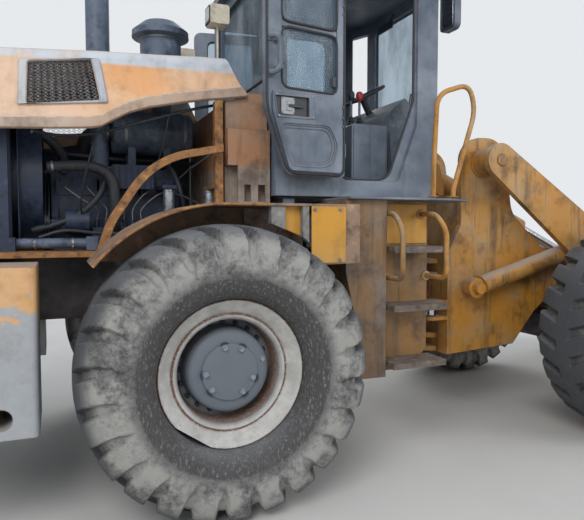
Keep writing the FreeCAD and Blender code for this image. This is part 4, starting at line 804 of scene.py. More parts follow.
def rounded(outline, radius, steps=5):
    """A flat outline with its corners rounded off."""
    result = []
    count = len(outline)
    for k in range(count):
        corner = np.array(outline[k], float)
        arms = [np.array(outline[k - 1], float) - corner, np.array(outline[(k + 1) % count], float) - corner]
        cut = min([radius] + [0.45 * np.linalg.norm(arm) for arm in arms])
        start, end = (corner + arm / np.linalg.norm(arm) * cut for arm in arms)
        for t in np.linspace(0, 1, steps):
            result.append(tuple((1 - t) ** 2 * start + 2 * t * (1 - t) * corner + t * t * end))
    return result


def shrunk(outline, by):
    """The outline moved inwards by a distance."""
    points = np.array(outline, float)
    area = np.sum(points[:, 0] * np.roll(points[:, 1], -1) - np.roll(points[:, 0], -1) * points[:, 1])
    result = []
    for k in range(len(points)):
        arms = [points[k] - points[k - 1], points[(k + 1) % len(points)] - points[k]]
        inward = sum(np.array((-a[1], a[0])) / max(np.linalg.norm(a), 1e-9) for a in arms) * np.sign(area)
        inward /= max(np.linalg.norm(inward), 1e-9)
        result.append(tuple(points[k] + inward * by))
    return result


def panel(name, outline, place, foot, top, edge=0.003):
    """A plate; place(u, off, v) says where a point of the outline lies, `off` from the seat."""
    rings = [(outline, foot), (outline, top - math.copysign(edge, top - foot)), (shrunk(outline, edge), top)]
    corners = [place(u, off, v) for line, off in rings for u, v in line]
    n = len(outline)
    faces = [(i * n + k, i * n + (k + 1) % n, (i + 1) * n + (k + 1) % n, (i + 1) * n + k)
             for i in range(2) for k in range(n)]
    faces += [tuple(range(n)), tuple(range(2 * n, 3 * n))]
    return outwards(shape(name, corners, faces))


def oblong(u0, u1, v0, v1, radius=0.01):
    return rounded([(u0, v0), (u1, v0), (u1, v1), (u0, v1)], radius)


def carved(piece, *cutters):
    """Cuts closed forms out of a piece and keeps the result as its mesh."""
    for cutter in cutters:
        modifier = piece.modifiers.new("cut", "BOOLEAN")
        modifier.operation, modifier.solver, modifier.object = "DIFFERENCE", "EXACT", cutter
    view = bpy.context.evaluated_depsgraph_get()
    data = bpy.data.meshes.new_from_object(piece.evaluated_get(view), depsgraph=view)
    piece.modifiers.clear()
    piece.data = data
    for cutter in cutters:
        bpy.data.objects.remove(cutter)
    return piece


def joined(name, *pieces):
    """Several pieces as one object."""
    bpy.ops.object.select_all(action="DESELECT")
    for piece in pieces:
        piece.select_set(True)
    bpy.context.view_layer.objects.active = pieces[0]
    bpy.ops.object.join()
    pieces[0].name = name
    return pieces[0]

# %% [markdown]
# ## Bolts on plates
# Plates, lids and flanges are held by hexagon bolts. The tree builds one head and its washer, and puts a copy
# on every point that it is given. `bolted` needs only the places and the way the bolts face.

# %%
def bolt_tree():
    tree, given = new_tree("bolts_on_points", [("Across", "Float"), ("Height", "Float"), ("Facing", "Vector"),
                                               ("Sides", "Int"), ("Material", "Material")])
    head_radius = sums(tree, "MULTIPLY", given["Across"], 0.577)
    head = add(tree, "GeometryNodeMeshCylinder", {"Vertices": given["Sides"], "Radius": head_radius,
                                                  "Depth": given["Height"]}).outputs["Mesh"]
    lift = add(tree, "ShaderNodeCombineXYZ", {"Z": sums(tree, "MULTIPLY", given["Height"], 0.6)}).outputs[0]
    head = add(tree, "GeometryNodeTransform", {"Geometry": head, "Translation": lift}).outputs[0]
    washer = add(tree, "GeometryNodeMeshCylinder", {
        "Vertices": 14, "Radius": sums(tree, "MULTIPLY", given["Across"], 0.75),
        "Depth": sums(tree, "MULTIPLY", given["Height"], 0.4)}).outputs["Mesh"]
    both = add(tree, "GeometryNodeJoinGeometry")
    tree.links.new(head, both.inputs[0])
    tree.links.new(washer, both.inputs[0])
    turn = add(tree, "FunctionNodeEulerToRotation", {0: given["Facing"]}).outputs[0]
    copies = add(tree, "GeometryNodeInstanceOnPoints",
                 {"Points": given["Geometry"], "Instance": both.outputs[0],
                                                        "Rotation": turn}).outputs[0]
    close_tree(tree, copies, given["Material"])
    return tree


bolt_maker = bolt_tree()


def bolted(name, places, facing, across, finish, body, slot="dark_iron", sides=6, height=0.6):
    """Bolt heads at places; `height` is in shares of the head's width."""
    seed = shape(name + "_points", places, [])
    angles = Vector(facing).to_track_quat("Z", "Y").to_euler()
    values = {"Across": across, "Height": height * across, "Facing": list(angles), "Sides": sides,
              "Material": finish}
    return settle(grown(seed, bolt_maker, values, name), finish, body, slot)

# %% [markdown]
# ## The hood
# The hood is one folded sheet: a crowned top, a soft shoulder and sides that splay out. Its lower edge rises
# in an arch over the wheel and ends in a rolled lip, which a sheet needs to stay stiff. The front edge slopes
# back. Old knocks have left shallow creases in the side near the cab. The form is a grid drawn by rules,
# given a sheet's thickness, with the grille's opening cut through afterwards.

# %%
HOOD_HALF, HOOD_SHOULDER, HOOD_LOW = 0.720, 0.620, 2.100
HOOD_TAIL, HOOD_NOSE = -1.840, 0.290
NOSE_SLOPE = 0.52
ARCH = [(-1.84, 2.106), (-1.12, 2.115), (-0.88, 2.128), (-0.66, 2.143), (-0.60, 2.156), (-0.544, 2.191),
        (-0.443, 2.248), (-0.328, 2.287), (-0.21, 2.314), (-0.09, 2.341), (0.065, 2.369), (0.19, 2.388),
        (0.29, 2.406)]
LIP_HEIGHT = 0.070


def hood_top(x):
    return float(np.interp(x, (HOOD_TAIL, -1.12, -0.60, 0.10, HOOD_NOSE),
                           (2.560, 2.596, 2.632, 2.664, 2.668)))


def hood_edge(x):
    return float(np.interp(x, [p[0] for p in ARCH], [p[1] for p in ARCH]))


def side_y(x, z):
    """Half width of the hood's side at a height."""
    rise = (z - HOOD_LOW) / (hood_top(x) - 0.075 - HOOD_LOW)
    return HOOD_HALF + (HOOD_SHOULDER - HOOD_HALF) * min(rise, 1.0)


def crease(x, z):
    """Depth of the dents at a point of the side: folds that run up from the arch, and one soft hollow."""
    depth = 0.0
    for x0, z0, lean, width, deep in ((0.02, 2.40, 0.9, 0.05, 0.010), (0.10, 2.44, -0.7, 0.04, 0.008),
                                      (-0.12, 2.36, 0.35, 0.06, 0.006)):
        off = abs((x - x0) - lean * (z - z0))
        fade = eased(z, z0 - 0.05, z0) * (1 - eased(z, z0 + 0.10, z0 + 0.18))
        depth += deep * max(0.0, 1 - off / width) * fade
    return depth + 0.008 * math.exp(-((x + 0.30) ** 2 / 0.08 + (z - 2.43) ** 2 / 0.01))


def hood_row(x):
    """Points of the right half of the section, from the lip's inner edge up to the middle of the roof."""
    low, top = hood_edge(x), hood_top(x)
    flare = 0.006 + 0.018 * eased(x, -1.0, -0.3)
    base = side_y(x, low)
    row = [(base - 0.030, low + 0.004), (base - 0.012 + flare, low), (base + flare, low + 0.008),
           (base + flare - 0.002, low + 0.030), (base - 0.006 + 0.5 * flare, low + LIP_HEIGHT - 0.008),
           (base - 0.012, low + LIP_HEIGHT)]
    for t in np.linspace(0.04, 1, 18):
        z = low + LIP_HEIGHT + t * (top - 0.10 - low - LIP_HEIGHT)
        row.append((side_y(x, z) - crease(x, z), z))
    for y, drop in ((HOOD_SHOULDER + 0.006, 0.070), (HOOD_SHOULDER + 0.002, 0.042),
                    (HOOD_SHOULDER - 0.012, 0.022),
                    (HOOD_SHOULDER - 0.040, 0.012), (HOOD_SHOULDER - 0.090, 0.008), (0.40, 0.006),
                    (0.20, 0.002), (0.0, 0.0)):
        row.append((y, top - drop))
    return row


def hood_form():
    corners, faces = [], []
    spots = np.concatenate([np.linspace(HOOD_TAIL, -0.6, 26), np.linspace(-0.57, HOOD_NOSE, 44)])
    for x in spots:
        row = hood_row(x)
        row += [(-y, z) for y, z in row[-2::-1]]
        for y, z in row:
            back = NOSE_SLOPE * max(0.0, z - 2.412) * eased(x, -0.3, HOOD_NOSE)
            corners.append(ahead(x - back, -y, z))
    wide = len(row)
    for i in range(len(spots) - 1):
        faces += [(i * wide + k, i * wide + k + 1, (i + 1) * wide + k + 1,
                   (i + 1) * wide + k) for k in range(wide - 1)]
    sheet = shape("hood_form", corners, faces)
    form = bmesh.new()
    form.from_mesh(sheet.data)
    bmesh.ops.recalc_face_normals(form, faces=form.faces)
    # normals of an open sheet may face either way, so its roof decides
    if max(form.faces, key=lambda f: f.calc_center_median().z).normal.z < 0:
        bmesh.ops.reverse_faces(form, faces=form.faces)
    bmesh.ops.solidify(form, geom=list(form.faces), thickness=0.005)
    form.to_mesh(sheet.data)
    form.free()
    return outwards(sheet)


GRILLE = [(-0.992, 2.266), (-0.606, 2.316), (-0.648, 2.552), (-0.983, 2.506)]
opening = panel("opening", rounded(GRILLE, 0.01), lambda u, off, v: ahead(u, off, v), -0.9, 0.9, 0.0)
hood_sheet = carved(hood_form(), opening)
settle(hood_sheet, hood_orange, "rear", "hood_paint", "hood")
hood_sheet.data.materials.append(lip_paint)
for face in hood_sheet.data.polygons:
    spot = face.center
    face.material_index = int(spot.z < hood_edge(spot.x - rear_axle) + LIP_HEIGHT - 0.004)
print("hood triangles", sum(len(p.vertices) - 2 for p in hood_sheet.data.polygons))

# %% [markdown]
# ## Expanded metal in the hood's sides
# Expanded metal is sheet that is slit in rows and pulled apart, so that the slits open into diamonds. One
# diamond is the seed here. The tree sets out rows of it in a unit square, and then bends that square to the
# four corners of the opening, so both the pattern and its border follow the slanted frame.

# %%
COLUMNS, ROWS = 10, 12
STRAND = 0.17


def lattice_tree():
    corner_names = ("Low left", "Low right", "High left", "High right")
    tree, given = new_tree("expanded_metal", [("Columns", "Int"), ("Rows", "Int")]
                           + [(label, "Vector") for label in corner_names]
                           + [("Outwards", "Vector"), ("Material", "Material")])
    wide, high = (sums(tree, "DIVIDE", 1.0, given[label]) for label in ("Columns", "Rows"))
    spots = add(tree, "GeometryNodeMeshGrid", {
        "Size X": sums(tree, "SUBTRACT", 1.0, wide), "Size Y": sums(tree, "SUBTRACT", 1.0, high),
        "Vertices X": given["Columns"], "Vertices Y": given["Rows"]}).outputs["Mesh"]
    cell = add(tree, "ShaderNodeCombineXYZ", {"X": wide, "Y": high, "Z": 1.0}).outputs[0]
    copies = add(tree, "GeometryNodeInstanceOnPoints", {"Points": spots, "Instance": given["Geometry"],
                                                        "Scale": cell}).outputs[0]
    real = add(tree, "GeometryNodeRealizeInstances", {0: copies}).outputs[0]
    axes = add(tree, "ShaderNodeSeparateXYZ", {0: add(tree, "GeometryNodeInputPosition").outputs[0]}).outputs
    u, v = (sums(tree, "ADD", axes[label], 0.5) for label in ("X", "Y"))

    def mixed(share, first, second):
        inputs = {0: share, 4: first, 5: second}
        return add(tree, "ShaderNodeMix", inputs, data_type="VECTOR", clamp_factor=False).outputs[1]

    foot = mixed(u, given["Low left"], given["Low right"])
    head = mixed(u, given["High left"], given["High right"])
    raised = add(tree, "ShaderNodeVectorMath", {0: given["Outwards"], "Scale": axes["Z"]},
                 operation="SCALE").outputs[0]
    spot = add(tree, "ShaderNodeVectorMath", {0: mixed(v, foot, head), 1: raised}, operation="ADD").outputs[0]
    placed = add(tree, "GeometryNodeSetPosition", {"Geometry": real, "Position": spot}).outputs[0]
    close_tree(tree, placed, given["Material"])
    return tree


def diamond(strand):
    """One diamond of the lattice: a ring of four strands, tilted as slitting leaves them."""
    corners = []
    for reach, tilt in ((0.5, 1), (0.5 - strand, -1)):
        for deep in (-0.001, 0.001):
            corners += [(reach, 0, deep + 0.0012 * tilt), (0, reach, deep),
                        (-reach, 0, deep - 0.0012 * tilt), (0, -reach, deep)]
    faces = []
    for k in range(4):
        m = (k + 1) % 4
        faces += [(k, m, 4 + m, 4 + k), (8 + k, 8 + m, 12 + m, 12 + k), (k, m, 8 + m, 8 + k),
                  (4 + k, 4 + m, 12 + m, 12 + k)]
    return outwards(shape("diamond", corners, faces))


lattice = lattice_tree()
for side, label in ((1, "left"), (-1, "right")):
    def on_side(u, off, v):
        return ahead(u, side * (side_y(u, v) + off), v)

    low_left, low_right, high_right, high_left = (list(on_side(u, -0.012, v)) for u, v in GRILLE)
    values = {"Columns": COLUMNS, "Rows": ROWS, "Low left": low_left, "Low right": low_right,
              "High left": high_left,
              "High right": high_right, "Outwards": [0.0, float(side), 0.0], "Material": grille_paint}
    mesh = grown(diamond(STRAND), lattice, values, "grille_mesh_" + label)
    settle(mesh, grille_paint, "rear", "hood_paint", "hood_grilles")
    # the frame is wide at both ends and narrow along its top and bottom
    hole = rounded(GRILLE, 0.015)
    mid_u, mid_v = np.mean([u for u, v in GRILLE]), np.mean([v for u, v in GRILLE])
    outer = [(u + math.copysign(0.050, u - mid_u), v + math.copysign(0.016, v - mid_v)) for u, v in hole]
    inner = [(u + math.copysign(0.003, u - mid_u), v + math.copysign(0.003, v - mid_v)) for u, v in hole]
    frame_rings = [(outer, -0.002), (shrunk(outer, 0.003), 0.010), (shrunk(outer, 0.007), 0.014),
                   (shrunk(inner, -0.005), 0.014), (inner, 0.009), (inner, -0.020)]
    corners = [on_side(u, off, v) for line, off in frame_rings for u, v in line]
    n = len(outer)
    faces = [(i * n + k, i * n + (k + 1) % n, (i + 1) * n + (k + 1) % n, (i + 1) * n + k)
             for i in range(len(frame_rings) - 1) for k in range(n)]
    faces += [((len(frame_rings) - 1) * n + k, (len(frame_rings) - 1) * n + (k + 1) % n, (k + 1) % n,
               k) for k in range(n)]
    settle(outwards(shape("grille_frame_" + label, corners, faces)), grille_paint, "rear", "hood_paint")
print("diamonds a side", COLUMNS * ROWS)
# %% [markdown]
# ## Hoses, clamps and belts in the engine bay
# Coolant and charge air run in moulded rubber hoses, pushed over pipe ends and held by band clamps. V-belts
# pull tight round the pulleys: the line of a tight string round several circles is their convex hull, so
# that is how the belts are drawn.

# %%
BELT_PLANE = -0.905


def tight_line(circles, steps=40):
    """Convex hull round circles (y, z, radius), as a closed line."""
    points = sorted((y + r * math.cos(math.tau * k / steps), z + r * math.sin(math.tau * k / steps))
                    for y, z, r in circles for k in range(steps))
    halves = []
    for run in (points, points[::-1]):
        half = []
        for p in run:
            while len(half) > 1 and ((half[-1][0] - half[-2][0]) * (p[1] - half[-2][1])
                                     - (half[-1][1] - half[-2][1]) * (p[0] - half[-2][0])) <= 0:
                half.pop()
            half.append(p)
        halves += half[:-1]
    return halves


PULLEYS = [(0.0, 1.300, 0.113), (-0.330, 1.616, 0.041), (0.0, 1.880, 0.073)]
for k, shift in enumerate((-0.010, 0.010)):
    loop = [ahead(BELT_PLANE + shift, y, z) for y, z in tight_line(PULLEYS)]
    settle(swept(f"fan_belt_{k}", loop, 0.0065, 6, closed=True), hose_rubber, "rear", "dark_iron")


def clamped(name, line, radius, ends=(0.03, 0.97)):
    """Band clamps near both ends of a hose."""
    bands = []
    for k, share in enumerate(ends):
        at = round(share * (len(line) - 1))
        spot = Vector(line[at])
        run = (Vector(line[min(at + 1, len(line) - 1)]) - Vector(line[max(at - 1, 0)])).normalized()
        bands.append(swept(f"{name}_{k}", [spot - 0.007 * run, spot + 0.007 * run], radius + 0.003, 20))
        screw = run.orthogonal().normalized() * (radius + 0.006)
        bands.append(swept(f"{name}_screw_{k}", [spot + screw - run.cross(screw).normalized() * 0.012,
                                                 spot + screw + run.cross(screw).normalized() * 0.012],
                                                 0.006, 8))
    settle(joined(name, *bands), zinc, "rear", "dark_iron")


HOSES = [  # name, radius, points from the rear axle
    ("charge_hose", 0.034, [(-0.90, -0.40, 1.945), (-0.80, -0.40, 1.955), (-0.66, -0.40, 1.958),
                            (-0.56, -0.40, 1.925),
                            (-0.515, -0.40, 1.85), (-0.505, -0.39, 1.72), (-0.50, -0.34, 1.60),
                            (-0.48, -0.28, 1.57)]),
    ("coolant_hose", 0.030, [(-1.00, -0.30, 2.16), (-0.90, -0.28, 2.14), (-0.82, -0.20, 2.06),
                             (-0.80, -0.14, 1.99),
                             (-0.80, -0.10, 1.95)]),
    ("breather_hose", 0.016, [(-0.17, -0.02, 1.98), (-0.15, -0.12, 2.00), (-0.12, -0.22, 1.98),
                              (-0.08, -0.30, 1.86),
                              (-0.05, -0.33, 1.66), (-0.06, -0.33, 1.50)]),
    ("fuel_hose", 0.008, [(-0.13, -0.42, 1.80), (-0.05, -0.43, 1.77), (0.03, -0.45, 1.72),
                          (0.05, -0.52, 1.60),
                          (0.06, -0.55, 1.46)]),
    ("return_hose", 0.007, [(-0.17, -0.42, 1.67), (-0.22, -0.42, 1.62), (-0.32, -0.40, 1.60),
                            (-0.38, -0.33, 1.60)]),
]
for name, radius, points in HOSES:
    line = flowing([ahead(*p) for p in points], 0.015)
    settle(swept(name, line, radius, 18), hose_rubber, "rear", "dark_iron")
    if radius > 0.012:
        clamped(name + "_clamps", line, radius)

# %% [markdown]
# ## Fuel lines, wires and filters
# Six steel lines of equal bore run from the injection pump to the heads. A loom of black wires follows the
# bay's upper edge and hangs down to the alternator. The filters are spun cans: white paint on steel, with a
# rolled seam at the head.

# %%
for k in range(6):
    pump, head = (-0.610 + 0.056 * k, -0.290, 1.628), (-0.790 + 0.132 * k, -0.205, 1.852)
    mid = [(pump[0] + 0.004, -0.290, 1.70), ((pump[0] + head[0]) / 2, -0.300, 1.76 + 0.006 * k),
           (head[0], -0.262, 1.83)]
    line = flowing([ahead(*p) for p in [pump, *mid, head]], 0.012)
    settle(swept(f"fuel_line_{k}", line, 0.0042, 8), grey_steel, "rear", "dark_iron")

WIRES = [
    [(-1.04, -0.60, 2.20), (-0.95, -0.60, 2.13), (-0.80, -0.61, 2.11), (-0.60, -0.61, 2.14),
     (-0.35, -0.61, 2.22),
     (-0.10, -0.61, 2.30), (0.12, -0.60, 2.36)],
    [(-0.62, -0.61, 2.13), (-0.66, -0.56, 2.00), (-0.70, -0.48, 1.82), (-0.71, -0.42, 1.70),
     (-0.70, -0.38, 1.66)],
    [(-0.20, -0.61, 2.26), (-0.22, -0.54, 2.10), (-0.25, -0.44, 1.98), (-0.27, -0.36, 1.95)],
    [(0.14, -0.58, 2.10), (0.04, -0.56, 2.02), (-0.04, -0.50, 1.96), (-0.10, -0.43, 1.90)],
]
for k, points in enumerate(WIRES):
    line = flowing([ahead(*p) for p in points], 0.02)
    settle(swept(f"wire_loom_{k}", line, 0.009 if k == 0 else 0.006, 8), black_plastic, "rear", "dark_iron")


def spun(name, spot, steps, finish, body, slot, sides=32, axis=(0, 0, 1), crease=CREASE):
    """A form turned about a straight axis, from pairs of height and radius."""
    axis = Vector(axis).normalized()
    line, radii, last = [], [], None
    for height, radius in steps:
        # two rings at one height still need a direction between them
        height = height if last is None or height > last else last + 0.0002
        line.append(Vector(spot) + axis * height)
        radii.append(radius)
        last = height
    return settle(swept(name, line, radii, sides), finish, body, slot, crease=crease)


CANS = [("fuel_filter", (-0.170, -0.420, 1.670), 0.036, 0.157),
        ("oil_filter", (0.100, -0.430, 1.700), 0.040, 0.125)]
cans = []
for name, spot, radius, height in CANS:
    steps = [(0, 0.30 * radius), (0.004, 0.72 * radius), (0.012, 0.92 * radius), (0.022, radius),
             (height - 0.016, radius),
             (height - 0.014, 1.04 * radius), (height - 0.006, 1.04 * radius),
             (height - 0.004, 0.95 * radius), (height, 0.95 * radius)]
    cans.append(spun(name, ahead(*spot), steps, silver, "rear", "dark_iron", 36))
    for deep in (0.35, 0.5):
        groove = [(0, radius * 1.002), (0.003, radius * 1.012), (0.006, radius * 1.002)]
        spun(f"{name}_band_{round(deep * 100)}", ahead(*spot) + Vector((0, 0, deep * height)), groove, silver,
             "rear", "dark_iron", 36)

union = panel("coolant_union", oblong(-0.690, -0.622, 1.4406, 1.525, 0.010), lambda u, off,
              v: ahead(u, off, v),
              -0.515, -0.588, 0.004)
settle(union, drum_steel, "rear", "dark_iron")
lower = flowing([ahead(*p) for p in [(-0.69, -0.55, 1.484), (-0.80, -0.55, 1.486), (-0.88, -0.548, 1.486),
                                     (-0.95, -0.51, 1.484),
                                     (-1.01, -0.482, 1.484), (-1.0747, -0.48, 1.484)]], 0.015)
pipe_low = settle(swept("coolant_pipe", lower, 0.030, 20), drum_steel, "rear", "dark_iron")
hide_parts("engine_fittings")
clamped("coolant_pipe_clamps", lower, 0.030, (0.2, 0.7))

# %% [markdown]
# ## Bolts on the engine
# The valve cover, the gear case and the side cover are lids on gaskets, each with a row of bolts at even
# spacing. Their number follows from the spacing.

# %%
def spaced(start, end, spacing):
    """Points from start to end, about `spacing` apart."""
    start, end = Vector(start), Vector(end)
    count = max(2, round((end - start).length / spacing) + 1)
    return [start.lerp(end, k / (count - 1)) for k in range(count)]


cover = [p for y in (-0.096, 0.096) for p in spaced(ahead(-0.82, y, 1.980), ahead(-0.10, y, 1.980), 0.10)]
bolted("valve_cover_bolts", cover, (0, 0, 1), 0.013, zinc, "rear")
case = [p for y in (-0.212, 0.212) for p in spaced(ahead(-0.880, y, 1.22), ahead(-0.880, y, 1.62), 0.10)]
bolted("gear_case_bolts", case, (-1, 0, 0), 0.014, oily_iron_and_painted_shade, "rear")
side_row = [p for z in (1.20, 1.53) for p in spaced(ahead(-0.82, -0.250, z), ahead(-0.10, -0.250, z), 0.12)]
bolted("crankcase_bolts", side_row, (0, -1, 0), 0.015, oily_iron_and_painted_shade, "rear")
head_row = spaced(ahead(-0.82, -0.200, 1.885), ahead(-0.10, -0.200, 1.885), 0.066)
bolted("head_bolts", head_row, (0, -1, 0), 0.014, oily_iron_and_painted_shade, "rear")
fan_ring = [ahead(-1.0755, 0.045 * math.sin(a),
                  1.880 + 0.045 * math.cos(a)) for a in (k * math.tau / 6 for k in range(6))]
bolted("fan_bolts", fan_ring, (-1, 0, 0), 0.014, zinc, "fan")
print("bolts on the engine", len(cover) + len(case) + len(side_row) + len(head_row))

# %% [markdown]
# ## Stack and air cleaner
# The stack is a tube slipped into a clamp on its elbow. The air cleaner is a steel drum whose intake pipe
# carries a pre-cleaner: a clear bowl where coarse dust drops out, under a cap that overhangs it.

# %%
stack_spot = ahead(-0.565, 0, 0)
spun("stack_clamp", stack_spot, [(2.655, 0.080), (2.657, 0.085), (2.675, 0.085), (2.677, 0.080)], zinc,
     "rear", "dark_iron", 40)
spun("stack_collar", stack_spot, [(2.612, 0.095), (2.617, 0.095), (2.621, 0.080)], drum_steel, "rear",
     "dark_iron", 40)
bowl_spot = ahead(-0.124, 0.100, 0)
spun("bowl_band", bowl_spot, [(2.918, 0.146), (2.920, 0.151), (2.932, 0.151), (2.934, 0.146)], zinc, "rear",
     "dark_iron", 48)
spun("bowl_clamp", bowl_spot, [(2.690, 0.071), (2.692, 0.078), (2.704, 0.078), (2.706, 0.071)], zinc, "rear",
     "dark_iron", 40)
spun("cap_lip", bowl_spot, [(2.9405, 0.190), (2.942, 0.2005), (2.950, 0.2030), (2.958, 0.2005)], drum_steel,
     "rear", "dark_iron", 56)
spun("cap_nut", bowl_spot, [(3.054, 0.022), (3.062, 0.022), (3.064, 0.016), (3.076, 0.015), (3.080, 0.010)],
     zinc, "rear",
     "dark_iron", 6, crease=math.radians(20))
cleaner_line = ahead(0, 0, 2.240)
for k, x in enumerate((-0.400, 0.0)):
    spun(f"cleaner_strap_{k}", cleaner_line + Vector((x - 0.012, 0, 0)),
         [(0, 0.150), (0.002, 0.153), (0.022, 0.153), (0.024, 0.150)],
         zinc, "rear", "dark_iron", 48, (1, 0, 0))
# %% [markdown]
# ## The doors' inner side
# Both doors are folded back, so their inner side shows. It is a steel leaf with a moulded trim: a stepped
# hollow for stiffness, a framed pocket with the latch in it, and a grab handle by the window. A point on the
# door is given as its run from the hinge, its height off the inner face and its height above ground.

# %%
DOOR_OPEN = math.radians(170)
HINGE_X, HINGE_Y = 0.900, 0.800
INNER_FACE = 0.044


def on_door(side):
    """The place function of one door, for panels and lines."""
    turn = side * DOOR_OPEN

    def place(u, off, z):
        v = -side * (INNER_FACE + off)
        return ahead(HINGE_X + u * math.cos(turn) - v * math.sin(turn),
                     side * HINGE_Y + u * math.sin(turn) + v * math.cos(turn), z)

    return place


TRIM = [(0.045, 1.925), (0.440, 1.925), (0.560, 2.275), (0.560, 2.402), (0.045, 2.402)]
HOLLOW = [(0.495, 2.212), (0.145, 2.224), (0.078, 2.110), (0.112, 1.990), (0.190, 1.955), (0.415, 1.955),
          (0.452, 2.010), (0.507, 2.158)]
POCKET = [(0.548, 2.372), (0.300, 2.380), (0.300, 2.258), (0.528, 2.254)]
POCKET_FRAME = [(0.556, 2.388), (0.268, 2.400), (0.256, 2.248), (0.532, 2.238)]
TRIM_DEEP = 0.014
PANES = [(0.080, 0.490, 2.426, 2.790), (0.080, 0.490, 2.822, 3.220)]


def round_trip(outline, place, off, radius=0.0, spacing=0.03):
    """A closed line round an outline, at even steps, on a place function."""
    points = rounded(outline, radius) if radius else outline
    closed_line = np.array(list(points) + [points[0]], float)
    run = np.concatenate([[0], np.cumsum(np.linalg.norm(np.diff(closed_line, axis=0), axis=1))])
    even = np.linspace(0, run[-1], max(8, round(run[-1] / spacing)), endpoint=False)
    return [place(np.interp(s, run, closed_line[:, 0]), off,
                  np.interp(s, run, closed_line[:, 1])) for s in even]


for side, label in ((1, "left"), (-1, "right")):
    place, body = on_door(side), "door_" + label
    trim = panel("door_trim_" + label, rounded(TRIM, 0.03), place, 0.0, TRIM_DEEP, 0.004)
    steps = [panel(f"step_{k}", rounded(shrunk(HOLLOW, 0.017 * k), 0.035), place, TRIM_DEEP + 0.002,
                   floor_at, 0.0)
             for k, floor_at in enumerate((0.0100, 0.0060, 0.0025))]
    pocket = panel("pocket", rounded(POCKET, 0.008), place, TRIM_DEEP + 0.002, 0.002, 0.0)
    settle(carved(trim, *steps, pocket), slate, body, "cab_paint", crease=math.radians(25))
    for k, (inset, thick) in enumerate(((0.0, 0.0055), (0.034, 0.004))):
        bead = swept(f"hollow_bead_{k}_{label}",
                     round_trip(shrunk(HOLLOW, inset), place, TRIM_DEEP - 0.003 - 0.008 * (k > 0),
                                                            0.035, 0.015), thick, 8, closed=True)
        settle(bead, slate, body, "cab_paint")
    cover = panel("latch_frame_" + label, rounded(POCKET_FRAME, 0.012), place, TRIM_DEEP - 0.001,
                  TRIM_DEEP + 0.0035, 0.0015)
    hole = panel("hole", rounded(shrunk(POCKET, 0.004), 0.008), place, TRIM_DEEP - 0.01, TRIM_DEEP + 0.01,
                 0.0)
    settle(carved(cover, hole), slate, body, "cab_paint", crease=math.radians(25))
    settle(panel("pocket_floor_" + label, rounded(POCKET, 0.008), place, 0.0008, 0.0028, 0.0), black_plastic,
           body, "black_plastic")
    settle(panel("latch_body_" + label, oblong(0.405, 0.500, 2.264, 2.368, 0.006), place, 0.001, 0.010,
                 0.002),
           zinc, body, "bare_steel")
    settle(panel("latch_slide_" + label, oblong(0.425, 0.462, 2.285, 2.345, 0.004), place, 0.009, 0.014,
                 0.002),
           zinc, body, "bare_steel")
    settle(panel("latch_lever_" + label, oblong(0.345, 0.450, 2.308, 2.326, 0.006), place, 0.013, 0.021,
                 0.002),
           black_plastic, body, "black_plastic")
    settle(panel("lock_plate_" + label, oblong(0.090, 0.118, 2.470, 2.535, 0.008), place, 0.0, 0.005, 0.002),
           black_plastic, body, "black_plastic")
    outward = place(0, 1, 0) - place(0, 0, 0)
    frame_screws = [place(u, TRIM_DEEP + 0.003, z) for u,
                    z in ((0.538, 2.376), (0.282, 2.388), (0.274, 2.260), (0.520, 2.250))]
    bolted("latch_screws_" + label, frame_screws, outward, 0.011, zinc, body, "bare_steel", 12, 0.35)
    latch_screws = [place(u, 0.010, z) for u in (0.412, 0.493) for z in (2.274, 2.358)]
    bolted("latch_body_screws_" + label, latch_screws, outward, 0.007, grey_steel, body, "bare_steel", 12,
           0.3)
    edge_screws = [place(0.030, 0.0, z) for z in (2.989, 2.937, 2.350, 2.282, 2.229)]
    bolted("hinge_screws_" + label, edge_screws, outward, 0.014, slate, body, "cab_paint", 12, 0.35)
    grab = [(0.574, 0.006, 2.712), (0.563, 0.032, 2.712), (0.548, 0.053, 2.700), (0.5335, 0.055, 2.665),
            (0.5325, 0.055, 2.61),
            (0.5335, 0.055, 2.555), (0.548, 0.053, 2.512), (0.563, 0.032, 2.498), (0.574, 0.006, 2.498)]
    settle(swept("grab_handle_" + label, flowing([place(*p) for p in grab], 0.008), 0.0165, 14), slate, body,
           "cab_paint")
    for k, z in enumerate((2.712, 2.498)):
        settle(panel(f"handle_foot_{k}_{label}", oblong(0.553, 0.590, z - 0.026, z + 0.026, 0.012), place,
                     0.0, 0.008, 0.003),
               slate, body, "cab_paint")
    for k, (u0, u1, z0, z1) in enumerate(PANES):
        loop = round_trip([(u0, z0), (u1, z0), (u1, z1), (u0, z1)], place, -0.002, 0.05)
        settle(swept(f"pane_gasket_{k}_{label}", loop, 0.0085, 8, closed=True), hose_rubber, body,
               "black_plastic")
    border = [(0.022, 1.913), (0.448, 1.913), (0.594, 2.305), (0.594, 3.280), (0.022, 3.280)]
    settle(swept("door_seal_" + label, round_trip(border, place, 0.001, 0.05), 0.0085, 8, closed=True),
           hose_rubber, body,
           "black_plastic")

# %% [markdown]
# ## The rebate round each doorway
# A cab door closes into a rebate, a step in the wall that gives its seal and its trim room. It is cut into a
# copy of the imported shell, a little wider than the door's seal.

